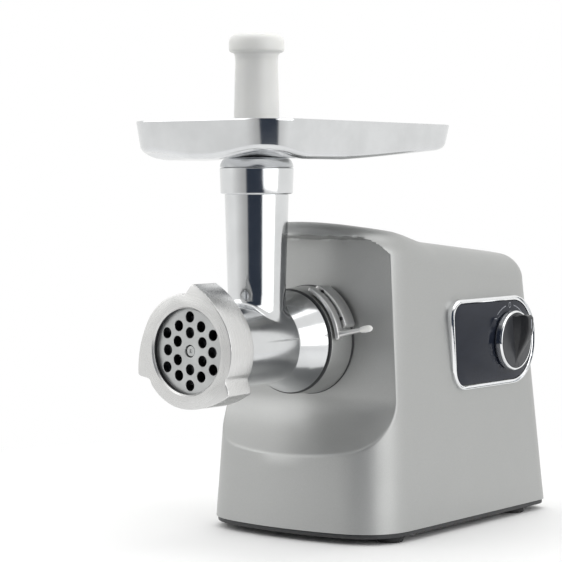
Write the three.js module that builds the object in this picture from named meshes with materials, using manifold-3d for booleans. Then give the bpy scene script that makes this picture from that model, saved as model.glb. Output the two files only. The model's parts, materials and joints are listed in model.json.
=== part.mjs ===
// Electric meat grinder: a motor housing with a cast grinding head, hopper tray, pusher and gear train.
// Millimetres, +Z up. The head's axis runs along Y, and the grinder faces -Y.
import * as THREE from 'three';
import { mergeVertices } from 'three/addons/utils/BufferGeometryUtils.js';
import Module from 'manifold-3d';

const wasm = await Module();
wasm.setup();

// ---------- driving dimensions ----------
const GAP = 0.3; // clearance between pieces that touch
const AXIS_Z = 133; // height of the head's axis above the table
const HEAD_CENTRE = [0, AXIS_Z];
const SIDES = 24; // facets of a large round piece
const FINE_SIDES = 12; // facets of a small round piece

const HOUSING = {
  bottom: 7.4, halfWidth: 77.6, sideDraft: 0.052,
  front: 93.7, frontDraft: 0.068, bow: 13.2, frontCorner: 34,
  rear: 324, rearDraft: 0.105, rearCorner: 18,
  crestRear: 191.5, crestSlope: 0.095, crestFrom: 300,
  humpHeight: 5, humpStart: 190, humpLength: 45,
  edgeRadius: 16, crown: 8, wall: 3,
};
// The front recess: a flat face that sweeps forward below, with a brow above that drops at its corners.
const FACE = {
  y: 127, halfWidth: 72, low: 56, high: 204.5, forward: 60,
  sweep: 40, sweepDepth: 30, brow: 2, browDepth: 22, cornerFrom: 46, cornerDrop: 30,
};
const BASE = { low: 4.1, inset: 1 };
const VENT = { count: 6, left: -24, right: 44, front: 222, pitch: 8, width: 3 };
const FOOT = { radius: 9, x: 65, frontY: 131, rearY: 288, stemRadius: 3 };
const BASE_SCREW = {
  x: 66.5, frontY: 152, rearY: 262, shank: 1.8, length: 20, boss: 5, bossTop: 30, head: 3.6, headDepth: 1.8,
};

const PANEL = {
  rear: 303.5, front: 193.5, low: 95.5, high: 159.5, cornerFront: 14, cornerRear: 30, lean: 5,
  face: 74, inner: 66, bezel: 3.2, proud: 1.2,
};
const KNOB = {
  y: 269, z: 127.4, ring: 21.5, rim: 1.6, disc: 80.6, tip: 92, finHalf: 4.2, spindle: 3, lift: 0.5,
};
const SWITCH = { half: 13, depth: 12, neck: 5.5 };

const COLLAR = { front: 104.5, rear: 126.7, outer: 35.5, outerRear: 36.9, bore: 28.5 };
const LEVER = {
  inner: 37.2, outer: 40, front: 105.5, rear: 112, from: 5, to: 66, arm: 10, reach: 66.5,
  rootHalf: 3.6, endHalf: 2.2, tipLength: 9, tipHalf: 2.8, tipRound: 3.4,
};
const GUIDE = {
  inner: 37.4, outer: 42, front: 113.5, rear: 125, from: 15, to: 78, screws: [24, 58], screw: 1, head: 1.9,
};

const HEAD = {
  face: 1, frontRadius: 34, frontEnd: 20, barrel: 26.7, bore: 23.5,
  flareStart: 82, stepStart: 92.5, stepRadius: 30.9, flareEnd: 102, flangeRadius: 34.6, flangeEnd: 103.5,
  neck: 28, neckEnd: 122, neckBore: 14.5, wallStart: 96, bushBore: 15.3, bushEnd: 104.3,
};
const TUBE = {
  y: 69, lowRadius: 19.2, highRadius: 21.2, taperFrom: 165, collarLow: 232.6, collarTop: 250,
  collarRadius: 24.4, boreLow: 17, boreHigh: 19, rebate: 21.6, rebateDepth: 7,
};
const PLATE = {
  radius: 31, thick: 5, hole: 3.5, centreHole: 4.1, inner: 11.8, middle: 18.4, outer: 21.9, holesPerRing: 6,
};
const NUT = {
  front: -4, rear: 19, radius: 37, lobe: 43.5, opening: 27.4, bore: 34.4, chamfer: 1.5,
  lobes: 3, stepAngle: 90, peakAngle: 7.5, decay: 50,
};
const WORM = {
  start: 14, end: 95.5, flight: 22, core: 9, pitch: 27, square: 5, journal: 10,
  pin: 3.8, pinBore: 4.1, pinEnd: 24, tail: 3, tailFrom: 91,
};
const BLADE = { front: 5.6, rear: 12.5, radius: 22, armHalf: 4.5, hub: 10 };
const COUPLING = {
  start: 106, end: 121, hex: 7, socket: 7.6, socketOuter: 12.5, socketFrom: 112, socketEnd: 127.5,
};

const TRAY = {
  rim: 280.2, halfWidth: 64.8, front: 7, rear: 220, corner: 25, wall: 1.8,
  underside: 256.6, rearRise: 7.7, riseFrom: 85, riseCurve: 1.15,
  cornerLift: 5, liftInner: 5, liftOuter: 65, liftFront: 7, liftRear: 57,
  floor: 261.2, holeRadius: 17.2, shoulder: 24.4, neck: 19.2, neckTop: 259.4, neckOuter: 20.6, stub: 243.6,
};
// The tray's wall seen in section: how far in from the rim, and how far above the underside.
const TRAY_SECTION = [[9, 0], [5.2, 1.4], [2.6, 5]];
const PUSHER = {
  top: 337.8, bulb: 18.3, bulbLow: 324.5, neckTop: 14.05, neckLow: 15.3,
  flange: 22.5, flangeLow: 262, flangeHigh: 265.4,
  piston: 16.4, bottom: 180, wall: 2.2,
};

// Gear train, from the motor's shaft up to the output shaft. Teeth, module and width of each stage.
const STAGES = [
  { pinion: 9, gear: 45, module: 1.25, from: 178, to: 187 },
  { pinion: 10, gear: 40, module: 1.5, from: 165, to: 175 },
  { pinion: 12, gear: 36, module: 2, from: 150, to: 162 },
];
const OUTPUT_CENTRE = [0, AXIS_Z];
const SECOND_ANGLE = -120; // direction from the output shaft to the second shaft
const FIRST_ANGLE = -60; // direction from the second shaft to the first shaft
const MOTOR_ANGLE = 62; // direction from the first shaft to the motor's shaft
const SHAFT = { hub: 7, journal: 4, outputJournal: 9, outputTail: 6 };
const GEARBOX = {
  front: 140, rear: 193, plate: 3.5, wall: 3, low: 20, high: 176, left: -60, right: 46, corner: 14,
  bossFront: 129, bearing: 15,
};
const MOTOR = {
  core: 24.5, slots: 12, stackFrom: 214, stackTo: 254, bore: 25.3, outer: 41,
  fanFrom: 197, fanTo: 207, fan: 33, blades: 8,
  shaft: 4, shaftEnd: 296, commutator: 12, commutatorFrom: 268, commutatorTo: 281,
};
const COIL = { inner: 27, depth: 5, half: 32, over: 7, window: 21 };
const BRACKET = { half: 11, front: 284, rear: 290 };
const BRUSH = { gap: 0.5, length: 22, half: 4 };
const BOARD = { x: -64, thick: 1.6, front: 205, rear: 285, low: 60, high: 120 };
const INLET = { x: -45, z: 28, bore: 4, radius: 7, flange: 9.5, front: 308 };

// ---------- shape helpers ----------
const rad = THREE.MathUtils.degToRad;
const polar = (radius, degrees) => [radius * Math.cos(rad(degrees)), radius * Math.sin(rad(degrees))];

// A closed three.js geometry as a solid that can be joined and cut.
function solid(geometry) {
  const bare = geometry.clone();
  for (const name of ['normal', 'uv']) bare.deleteAttribute(name);
  const merged = mergeVertices(bare);
  const index = merged.index.array;
  const kept = [];
  for (let i = 0; i < index.length; i += 3) {
    const [a, b, c] = index.slice(i, i + 3);
    if (a !== b && b !== c && c !== a) kept.push(a, b, c);
  }
  const vertProperties = merged.attributes.position.array;
  const solidFrom = (corners) =>
    new wasm.Manifold(new wasm.Mesh({ numProp: 3, vertProperties, triVerts: new Uint32Array(corners) }));
  const made = solidFrom(kept);
  return made.volume() > 0 ? made : solidFrom(kept.reverse());
}

function geometryOf(made) {
  const mesh = made.getMesh();
  const geometry = new THREE.BufferGeometry();
  geometry.setAttribute('position', new THREE.BufferAttribute(mesh.vertProperties, 3));
  geometry.setIndex(new THREE.BufferAttribute(mesh.triVerts, 1));
  geometry.computeVertexNormals();
  return geometry;
}

// Turns a geometry made along one axis so that its own third axis lies along the one named.
function along(geometry, axis) {
  const turn = new THREE.Matrix4();
  if (axis === 'x') turn.set(0, 0, 1, 0, 1, 0, 0, 0, 0, 1, 0, 0, 0, 0, 0, 1);
  if (axis === 'y') turn.set(1, 0, 0, 0, 0, 0, 1, 0, 0, 1, 0, 0, 0, 0, 0, 1);
  return geometry.applyMatrix4(turn);
}

// A shape drawn in the plane across an axis, pushed from one place on that axis to another.
function prism(axis, shape, from, to) {
  const options = { depth: to - from, bevelEnabled: false, curveSegments: 4 };
  const geometry = new THREE.ExtrudeGeometry(shape, options);
  return solid(along(geometry.translate(0, 0, from), axis));
}

// A profile of [radius, place along the axis] pairs turned about an axis through a centre.
function turned(axis, centre, profile, sides = SIDES) {
  const points = profile.map(([radius, place]) => new THREE.Vector2(radius, place));
  const geometry = new THREE.LatheGeometry(points, sides).rotateX(Math.PI / 2);
  return solid(along(geometry.translate(centre[0], centre[1], 0), axis));
}

function rod(axis, centre, radius, from, to, sides = FINE_SIDES) {
  return turned(axis, centre, [[0, from], [radius, from], [radius, to], [0, to]], sides);
}

function ring(axis, centre, inner, outer, from, to, sides = SIDES) {
  return turned(axis, centre, [[inner, from], [outer, from], [outer, to], [inner, to], [inner, from]], sides);
}

function block(x, y, z) {
  const geometry = new THREE.BoxGeometry(x[1] - x[0], y[1] - y[0], z[1] - z[0]);
  return solid(geometry.translate((x[0] + x[1]) / 2, (y[0] + y[1]) / 2, (z[0] + z[1]) / 2));
}

// A block that spans two places on each axis, given in either order.
function between(x, y, z) {
  return block(...[x, y, z].map(([a, b]) => [Math.min(a, b), Math.max(a, b)]));
}

function cutAll(made, tools) {
  return tools.reduce((rest, tool) => rest.subtract(tool), made);
}

// A closed shape through [u, v] points.
function polygon(points) {
  return new THREE.Shape(points.map(([u, v]) => new THREE.Vector2(u, v)));
}

// A skin through rings of points, each ring with the same number of points. Its ends are closed by
// a point at the middle, or the last ring meets the first.
function loft(rings, { closed = false } = {}) {
  const count = rings[0].length;
  const points = rings.flat();
  const index = [];
  const bands = closed ? rings.length : rings.length - 1;
  for (let band = 0; band < bands; band++) {
    const low = band * count;
    const high = ((band + 1) % rings.length) * count;
    for (let i = 0; i < count; i++) {
      const next = (i + 1) % count;
      index.push(low + i, low + next, high + next, low + i, high + next, high + i);
    }
  }
  if (!closed) {
    for (const [at, flip] of [[0, true], [rings.length - 1, false]]) {
      const middle = rings[at].reduce((sum, p) => sum.add(p), new THREE.Vector3()).divideScalar(count);
      points.push(middle);
      for (let i = 0; i < count; i++) {
        const pair = [at * count + i, at * count + ((i + 1) % count)];
        if (flip) pair.reverse();
        index.push(pair[0], pair[1], points.length - 1);
      }
    }
  }
  const geometry = new THREE.BufferGeometry().setFromPoints(points);
  return solid(geometry.setIndex(index));
}

function roundedRect(left, low, right, high, corners) {
  const [lowRight, highRight, highLeft, lowLeft] = Array.isArray(corners) ? corners : Array(4).fill(corners);
  const shape = new THREE.Shape();
  shape.absarc(right - lowRight, low + lowRight, lowRight, -Math.PI / 2, 0);
  shape.absarc(right - highRight, high - highRight, highRight, 0, Math.PI / 2);
  shape.absarc(left + highLeft, high - highLeft, highLeft, Math.PI / 2, Math.PI);
  shape.absarc(left + lowLeft, low + lowLeft, lowLeft, Math.PI, 1.5 * Math.PI);
  return shape.closePath();
}

// ---------- materials ----------
const finish = (color, roughness, metalness) =>
  new THREE.MeshStandardMaterial({ color, roughness, metalness });
const satinGrey = () => finish(0xa9a9a7, 0.45, 0.35);
const castAluminium = () => finish(0xc3c5c8, 0.25, 0.9);
const satinAluminium = () => finish(0xc8c8c6, 0.4, 0.8);
const steel = () => finish(0x9da0a5, 0.3, 0.95);
const chrome = () => finish(0xd6d8dc, 0.08, 1);
const blackPlastic = () => finish(0x22262e, 0.4, 0);
const rubber = () => finish(0x18181a, 0.8, 0);
const milkWhite = () => finish(0xf0f0ee, 0.35, 0);
const brass = () => finish(0xb08d4a, 0.35, 0.9);
const copper = () => finish(0xa5552c, 0.4, 0.9);
const nylon = () => finish(0xd9d5c8, 0.5, 0);
const castIron = () => finish(0x6d7075, 0.5, 0.8);
const circuitGreen = () => finish(0x1d5a3a, 0.6, 0);

const model = new THREE.Group();
function part(name, shape, material) {
  const mesh = new THREE.Mesh(geometryOf(shape), material);
  mesh.name = name;
  model.add(mesh);
  return mesh;
}

// ---------- housing ----------
const smoothstep = (t) => THREE.MathUtils.smoothstep(t, 0, 1);

// Height of the housing's top along its centre line: a gentle slope with a hump over the head.
function crest(y) {
  const hump = HOUSING.humpHeight * smoothstep((HOUSING.humpStart - y) / HOUSING.humpLength);
  return HOUSING.crestRear + HOUSING.crestSlope * (HOUSING.crestFrom - y) + hump;
}

// The housing's outline seen from above at one height, drawn in by an inset.
function planOutline(height, inset) {
  const rise = height - HOUSING.bottom;
  const half = HOUSING.halfWidth - HOUSING.sideDraft * rise - inset;
  const front = HOUSING.front + HOUSING.frontDraft * rise + inset;
  const rear = HOUSING.rear - HOUSING.rearDraft * rise - inset;
  const corner = Math.max(HOUSING.frontCorner - inset, 12);
  const rearCorner = Math.max(HOUSING.rearCorner - inset, 4);
  const bowEnd = half - corner;
  const bowDepth = HOUSING.bow * (bowEnd / half) ** 2;
  const slope = (2 * bowDepth) / bowEnd;
  const path = new THREE.Path();
  path.moveTo(0, front);
  path.quadraticCurveTo(bowEnd / 2, front, bowEnd, front + bowDepth);
  const turnY = front + bowDepth + slope * corner;
  path.quadraticCurveTo(half, turnY, half, turnY + corner);
  const sideSteps = 6;
  for (let i = 1; i <= sideSteps; i++) {
    path.lineTo(half, THREE.MathUtils.lerp(turnY + corner, rear - rearCorner, i / sideSteps));
  }
  path.quadraticCurveTo(half, rear, half - rearCorner, rear);
  path.lineTo(half / 3, rear).lineTo(0, rear);
  const right = path.getPoints(3);
  const left = right.slice(1, -1).reverse().map((p) => new THREE.Vector2(-p.x, p.y));
  return [...right, ...left];
}

// The housing's outer skin, drawn in by an inset and reaching down to a floor height.
function housingSkin(inset, floorHeight) {
  const topOf = (p) => crest(p.y) - HOUSING.crown * (p.x / HOUSING.halfWidth) ** 2 - inset;
  const radius = HOUSING.edgeRadius - inset;
  const rings = [];
  const spring = HOUSING.crestRear - radius;
  const wallSteps = 2;
  for (let i = 0; i <= wallSteps; i++) {
    const share = i / wallSteps;
    rings.push(planOutline(THREE.MathUtils.lerp(floorHeight, spring, share), inset)
      .map((p) => new THREE.Vector3(p.x, p.y,
        THREE.MathUtils.lerp(floorHeight, topOf(p) - radius, share))));
  }
  for (const angle of [30, 60, 90]) {
    const drawnIn = inset + radius * (1 - Math.cos(rad(angle)));
    const drop = radius * (1 - Math.sin(rad(angle)));
    rings.push(planOutline(spring, drawnIn).map((p) => new THREE.Vector3(p.x, p.y, topOf(p) - drop)));
  }
  const last = rings[rings.length - 1];
  const middle = new THREE.Vector3(0, (HOUSING.front + HOUSING.rear) / 2, 0);
  for (const share of [0.7, 0.4, 0.15]) {
    rings.push(last.map((p) => {
      const q = new THREE.Vector3(p.x * share, middle.y + (p.y - middle.y) * share, 0);
      return q.setZ(topOf(q));
    }));
  }
  return loft(rings);
}

// Height of the recess's top edge at a place across the housing.
function faceTop(x) {
  const outward = Math.max(Math.abs(x) - FACE.cornerFrom, 0) / (FACE.halfWidth - FACE.cornerFrom);
  return FACE.high - FACE.cornerDrop * (1 - Math.sqrt(Math.max(1 - outward ** 2, 0)));
}

// The recess's section at a place across the housing, grown all round by a wall's thickness.
function faceSection(x, grow) {
  const steps = 5;
  const low = FACE.low - grow;
  const high = faceTop(x) + grow;
  const back = FACE.y + grow;
  const section = [[FACE.forward, low]];
  for (let i = 0; i <= steps; i++) {
    section.push([back - FACE.sweepDepth * (1 - i / steps) ** 2, low + (FACE.sweep * i) / steps]);
  }
  for (let i = steps; i >= 0; i--) {
    section.push([back - FACE.browDepth * (1 - i / steps) ** 2, high - (FACE.brow * i) / steps]);
  }
  section.push([FACE.forward, high]);
  return section.map(([y, z]) => new THREE.Vector3(x, y, z));
}

function faceTool(grow) {
  const steps = 4;
  const places = [];
  for (let i = 0; i <= steps; i++) {
    places.push(THREE.MathUtils.lerp(FACE.cornerFrom, FACE.halfWidth, i / steps));
  }
  const stations = [...places.map((x) => -x).reverse(), ...places];
  return loft(stations.map((x) => faceSection(x, grow)));
}

// The side panel's outline in the Y-Z plane: its front edge leans, its rear end is nearly round.
function panelShape(grow) {
  const shape = roundedRect(PANEL.front - grow, PANEL.low - grow, PANEL.rear + grow, PANEL.high + grow,
    [PANEL.cornerRear + grow, PANEL.cornerRear + grow, PANEL.cornerFront + grow, PANEL.cornerFront + grow]);
  const middle = (PANEL.low + PANEL.high) / 2;
  const leaned = shape.getPoints(4).map((p) => {
    const share = THREE.MathUtils.clamp((KNOB.y - p.x) / (KNOB.y - PANEL.front), 0, 1);
    return new THREE.Vector2(p.x - share * Math.tan(rad(PANEL.lean)) * (p.y - middle), p.y);
  });
  return new THREE.Shape(leaned);
}

const baseScrewPlaces = [
  ['front_left', -BASE_SCREW.x, BASE_SCREW.frontY], ['front_right', BASE_SCREW.x, BASE_SCREW.frontY],
  ['rear_left', -BASE_SCREW.x, BASE_SCREW.rearY], ['rear_right', BASE_SCREW.x, BASE_SCREW.rearY],
];
const footPlaces = [
  ['foot_front_left', -FOOT.x, FOOT.frontY], ['foot_front_right', FOOT.x, FOOT.frontY],
  ['foot_rear_left', -FOOT.x, FOOT.rearY], ['foot_rear_right', FOOT.x, FOOT.rearY],
];

// A screw boss on the base, tied to the side wall by a rib.
function screwBoss(x, y) {
  const ribHalf = 1.5;
  const wallX = Math.sign(x) * (HOUSING.halfWidth - HOUSING.wall + 1);
  const rib = between([x, wallX], [y - ribHalf, y + ribHalf], [HOUSING.bottom, BASE_SCREW.bossTop]);
  return rod('z', [x, y], BASE_SCREW.boss, HOUSING.bottom, BASE_SCREW.bossTop, 10).add(rib);
}

function housingShell() {
  const hollow = housingSkin(HOUSING.wall, HOUSING.bottom - 1).subtract(faceTool(HOUSING.wall));
  let shell = housingSkin(0, HOUSING.bottom).subtract(faceTool(0)).subtract(hollow);
  shell = cutAll(shell, [
    rod('y', HEAD_CENTRE, HEAD.neck + 2, COLLAR.front, COLLAR.rear + 10, SIDES),
    prism('x', panelShape(0), PANEL.inner - 4, HOUSING.halfWidth + 1),
    rod('y', [INLET.x, INLET.z], INLET.radius + GAP, INLET.front, HOUSING.rear + 1),
  ]);
  for (const [, x, y] of baseScrewPlaces) {
    const hole = rod('z', [x, y], BASE_SCREW.shank + GAP, 0, BASE_SCREW.bossTop - 6, 8);
    shell = shell.add(screwBoss(x, y)).subtract(hole);
  }
  part('housing_shell', shell, satinGrey());
}

function basePlate() {
  const top = HOUSING.bottom - GAP;
  let plate = prism('z', new THREE.Shape(planOutline(HOUSING.bottom, BASE.inset)), BASE.low, top);
  const holes = (places, radius) => places.map(([, x, y]) => rod('z', [x, y], radius + GAP, 0, top + 1));
  plate = cutAll(plate, holes(baseScrewPlaces, BASE_SCREW.shank));
  plate = cutAll(plate, holes(footPlaces, FOOT.stemRadius));
  for (let i = 0; i < VENT.count; i++) {
    const y = VENT.front + i * VENT.pitch;
    plate = plate.subtract(block([VENT.left, VENT.right], [y, y + VENT.width], [0, top + 1]));
  }
  part('base_plate', plate, blackPlastic());
}

function feet() {
  const top = BASE.low - GAP;
  for (const [name, x, y] of footPlaces) {
    const foot = turned('z', [x, y], [[0, 0], [FOOT.radius - 1, 0], [FOOT.radius, 1], [FOOT.radius, top],
      [FOOT.stemRadius, top], [FOOT.stemRadius, HOUSING.bottom + 1], [0, HOUSING.bottom + 1]], FINE_SIDES);
    part(name, foot, rubber());
  }
}

function baseScrews() {
  const top = BASE.low - GAP;
  const low = top - BASE_SCREW.headDepth;
  for (const [place, x, y] of baseScrewPlaces) {
    const screw = turned('z', [x, y], [[0, low], [BASE_SCREW.head, low], [BASE_SCREW.head, top],
      [BASE_SCREW.shank, top], [BASE_SCREW.shank, BASE_SCREW.length], [0, BASE_SCREW.length]], FINE_SIDES);
    part('base_screw_' + place, screw, steel());
  }
}

// ---------- control panel and knob ----------
function controlPanel() {
  const screen = prism('x', panelShape(-PANEL.bezel), PANEL.inner, PANEL.face);
  const hole = rod('x', [KNOB.y, KNOB.z], KNOB.spindle + GAP, PANEL.inner - 1, PANEL.face + 1);
  part('control_panel', screen.subtract(hole), blackPlastic());
  const frame = prism('x', panelShape(-GAP), PANEL.inner, PANEL.face + PANEL.proud);
  const window = prism('x', panelShape(-PANEL.bezel + GAP), PANEL.inner - 1, PANEL.face + PANEL.proud + 1);
  part('panel_bezel', frame.subtract(window), chrome());
}

function rotarySwitch() {
  const rear = PANEL.inner - 2;
  const front = rear - SWITCH.depth;
  const body = block([front, rear], [KNOB.y - SWITCH.half, KNOB.y + SWITCH.half],
    [KNOB.z - SWITCH.half, KNOB.z + SWITCH.half]);
  const neck = rod('x', [KNOB.y, KNOB.z], SWITCH.neck, rear - 1, PANEL.inner - GAP);
  const hole = rod('x', [KNOB.y, KNOB.z], KNOB.spindle + GAP, front, PANEL.inner + 1);
  part('rotary_switch', body.add(neck).subtract(hole), blackPlastic());
}

// The knob's grip: a fin that stands out furthest at its top and runs down to the disc.
function knobFin(half) {
  const fin = new THREE.Shape();
  const [low, high] = [KNOB.z - half, KNOB.z + half];
  fin.moveTo(KNOB.disc - 2, low).lineTo(KNOB.disc - 2, high).lineTo(KNOB.tip - 2, high);
  fin.quadraticCurveTo(KNOB.tip, high, KNOB.tip, high - 3);
  fin.quadraticCurveTo(KNOB.tip - 1, KNOB.z - 8, KNOB.disc + 1, low);
  const geometry = new THREE.ExtrudeGeometry(fin, { depth: 2 * KNOB.finHalf, bevelEnabled: false });
  return solid(along(geometry.translate(0, 0, KNOB.y - KNOB.finHalf), 'y'));
}

function knob() {
  const centre = [KNOB.y, KNOB.z];
  const discRadius = KNOB.ring - KNOB.rim;
  const back = PANEL.face + KNOB.lift;
  const front = KNOB.disc - 1;
  part('knob_ring', ring('x', centre, discRadius + GAP, KNOB.ring, back, front - GAP), chrome());
  const disc = turned('x', centre, [[0, back], [discRadius, back], [discRadius, front - 2],
    [discRadius - 2, front], [0, front]]);
  const bore = rod('x', centre, KNOB.spindle + GAP, back - 1, front - 2 + GAP);
  part('selector_knob', disc.add(knobFin(discRadius - 1)).subtract(bore), blackPlastic());
  part('knob_spindle', rod('x', centre, KNOB.spindle, PANEL.inner - SWITCH.depth - 1, front - 2), steel());
}

// ---------- socket and lock ----------
// A band bent about the head's axis, from one angle to another, angles counted from +X upwards.
function arcBand(inner, outer, fromAngle, toAngle, front, rear) {
  const band = new THREE.Shape();
  band.absarc(0, AXIS_Z, outer, rad(fromAngle), rad(toAngle), false);
  band.absarc(0, AXIS_Z, inner, rad(toAngle), rad(fromAngle), true);
  return prism('y', band, front, rear);
}

function socketCollar() {
  const sleeve = turned('y', HEAD_CENTRE, [[COLLAR.bore, COLLAR.front], [COLLAR.outer - 1.5, COLLAR.front],
    [COLLAR.outer, COLLAR.front + 1.5], [COLLAR.outerRear, COLLAR.rear], [COLLAR.bore, COLLAR.rear],
    [COLLAR.bore, COLLAR.front]]);
  part('socket_collar', sleeve, satinGrey());
}

function lockLever() {
  const band = arcBand(LEVER.inner, LEVER.outer, LEVER.from, LEVER.to, LEVER.front, LEVER.rear);
  const [sin, cos] = [Math.sin(rad(LEVER.arm)), Math.cos(rad(LEVER.arm))];
  const armPoint = ([reach, side]) => [reach * cos - side * sin, AXIS_Z + reach * sin + side * cos];
  const root = LEVER.inner + 1;
  const tipStart = LEVER.reach - LEVER.tipLength;
  const arm = polygon([[root, -LEVER.rootHalf], [tipStart, -LEVER.endHalf], [tipStart, LEVER.endHalf],
    [root, LEVER.rootHalf]].map(armPoint));
  part('lock_lever', band.add(prism('y', arm, LEVER.front + 1, LEVER.rear - 1)), satinAluminium());

  const roundCentre = LEVER.reach - LEVER.tipRound;
  const tip = new THREE.Shape();
  tip.moveTo(...armPoint([tipStart + GAP, -LEVER.tipHalf]));
  tip.absarc(...armPoint([roundCentre, 0]), LEVER.tipRound, rad(LEVER.arm - 90), rad(LEVER.arm + 90), false);
  tip.lineTo(...armPoint([tipStart + GAP, LEVER.tipHalf]));
  part('lever_tip', prism('y', tip, LEVER.front, LEVER.rear), milkWhite());
}

function lockGuide() {
  let guide = arcBand(GUIDE.inner, GUIDE.outer, GUIDE.from, GUIDE.to, GUIDE.front, GUIDE.rear);
  GUIDE.screws.forEach((angle, i) => {
    const [x, rise] = polar((GUIDE.inner + GUIDE.outer) / 2, angle);
    const centre = [x, AXIS_Z + rise];
    guide = guide.subtract(rod('y', centre, GUIDE.screw + GAP, GUIDE.front - 1, GUIDE.rear + 1));
    const screw = turned('y', centre, [[0, GUIDE.front - 1.3], [GUIDE.head, GUIDE.front - 1.3],
      [GUIDE.head, GUIDE.front - GAP], [GUIDE.screw, GUIDE.front - GAP], [GUIDE.screw, GUIDE.rear],
      [0, GUIDE.rear]], FINE_SIDES);
    part('guide_screw_' + (i + 1), screw, steel());
  });
  part('lock_guide', guide, satinAluminium());
}

// ---------- grinding head ----------
function headBarrel() {
  return turned('y', HEAD_CENTRE, [[0, HEAD.face], [HEAD.frontRadius, HEAD.face],
    [HEAD.frontRadius, HEAD.frontEnd], [HEAD.barrel, HEAD.frontEnd + 1.5], [HEAD.barrel, HEAD.flareStart],
    [HEAD.stepRadius, HEAD.stepStart], [HEAD.flangeRadius, HEAD.flareEnd],
    [HEAD.flangeRadius, HEAD.flangeEnd], [HEAD.neck, HEAD.flangeEnd], [HEAD.neck, HEAD.neckEnd],
    [0, HEAD.neckEnd]]);
}

function feedTube() {
  return turned('z', [0, TUBE.y], [[0, AXIS_Z], [TUBE.lowRadius, AXIS_Z], [TUBE.lowRadius, TUBE.taperFrom],
    [TUBE.highRadius, TUBE.collarLow - 0.5], [TUBE.collarRadius - 0.5, TUBE.collarLow],
    [TUBE.collarRadius, TUBE.collarTop], [0, TUBE.collarTop]]);
}

function grinderHead() {
  const rebateLow = TUBE.collarTop - TUBE.rebateDepth;
  const throat = turned('z', [0, TUBE.y], [[0, AXIS_Z], [TUBE.boreLow, AXIS_Z], [TUBE.boreHigh, rebateLow],
    [TUBE.rebate, rebateLow], [TUBE.rebate, TUBE.collarTop + 1], [0, TUBE.collarTop + 1]]);
  const seat = PLATE.thick + GAP;
  const chamber = turned('y', HEAD_CENTRE, [[0, 0], [PLATE.radius + GAP, 0], [PLATE.radius + GAP, seat],
    [HEAD.bore, seat], [HEAD.bore, HEAD.wallStart], [HEAD.bushBore, HEAD.wallStart],
    [HEAD.bushBore, HEAD.bushEnd], [HEAD.neckBore, HEAD.bushEnd], [HEAD.neckBore, HEAD.neckEnd + 3],
    [0, HEAD.neckEnd + 3]]);
  part('grinder_head', cutAll(headBarrel().add(feedTube()), [throat, chamber]), castAluminium());
  part('worm_bush', ring('y', HEAD_CENTRE, WORM.journal + GAP, HEAD.bushBore - GAP, HEAD.wallStart + GAP,
    HEAD.bushEnd - GAP), nylon());
}

function cuttingPlate() {
  const hole = (centre, radius, sides) => rod('y', centre, radius, -1, PLATE.thick + 1, sides);
  let plate = rod('y', HEAD_CENTRE, PLATE.radius, 0, PLATE.thick, SIDES);
  plate = plate.subtract(hole(HEAD_CENTRE, PLATE.centreHole, 16));
  for (const [radius, start] of [[PLATE.inner, 90], [PLATE.middle, 60], [PLATE.outer, 90]]) {
    for (let i = 0; i < PLATE.holesPerRing; i++) {
      const [x, rise] = polar(radius, start + (i * 360) / PLATE.holesPerRing);
      plate = plate.subtract(hole([x, AXIS_Z + rise], PLATE.hole, 10));
    }
  }
  part('cutting_plate', plate, steel());
}

// Radius of the ring nut's outline at an angle: each lobe rises steeply and falls away in a long curve.
function nutRadius(angle) {
  const behind = THREE.MathUtils.euclideanModulo(NUT.stepAngle - angle, 360 / NUT.lobes);
  if (behind < NUT.peakAngle) return THREE.MathUtils.lerp(NUT.radius, NUT.lobe, behind / NUT.peakAngle);
  const left = Math.max(1 - (behind - NUT.peakAngle) / NUT.decay, 0);
  return THREE.MathUtils.lerp(NUT.radius, NUT.lobe, left ** 2);
}

function ringNut() {
  const steps = 96;
  const outline = [];
  for (let i = 0; i < steps; i++) {
    const angle = (360 * i) / steps + NUT.stepAngle;
    const [x, rise] = polar(nutRadius(angle), angle);
    outline.push([x, AXIS_Z + rise]);
  }
  const cut = turned('y', HEAD_CENTRE, [[0, NUT.front - 1], [NUT.opening + 2, NUT.front - 1],
    [NUT.opening, NUT.front + NUT.chamfer], [NUT.opening, -GAP], [NUT.bore, -GAP], [NUT.bore, NUT.rear + 1],
    [0, NUT.rear + 1]]);
  part('ring_nut', prism('y', polygon(outline), NUT.front, NUT.rear).subtract(cut), satinAluminium());
}

// A feed worm: a core with one helical flight, made by twisting a cam-shaped section along the axis.
function wormBody() {
  const around = 12;
  const section = [];
  for (let i = 0; i < around; i++) {
    const angle = (360 * i) / around;
    const away = Math.min(angle, 360 - angle);
    const height = away < 28 ? 1 : away < 60 ? 0.25 : 0;
    section.push(polar(WORM.core + height * (WORM.flight - WORM.core), angle));
  }
  const length = WORM.end - WORM.start;
  const stepsPerTurn = 9;
  const steps = Math.round((length / WORM.pitch) * stepsPerTurn);
  const geometry = new THREE.ExtrudeGeometry(polygon(section), { depth: length, steps, bevelEnabled: false });
  const position = geometry.getAttribute('position');
  const axis = new THREE.Vector3(0, 0, 1);
  const point = new THREE.Vector3();
  for (let i = 0; i < position.count; i++) {
    point.fromBufferAttribute(position, i);
    point.applyAxisAngle(axis, (2 * Math.PI * point.z) / WORM.pitch);
    position.setXYZ(i, point.x, point.y, point.z);
  }
  return solid(along(geometry.translate(0, AXIS_Z, WORM.start), 'y'));
}

function squareBar(half, from, to) {
  return block([-half, half], [from, to], [AXIS_Z - half, AXIS_Z + half]);
}

function hexagon(radius) {
  const corners = [0, 60, 120, 180, 240, 300].map((angle) => polar(radius, angle));
  return polygon(corners.map(([x, rise]) => [x, AXIS_Z + rise]));
}

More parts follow.
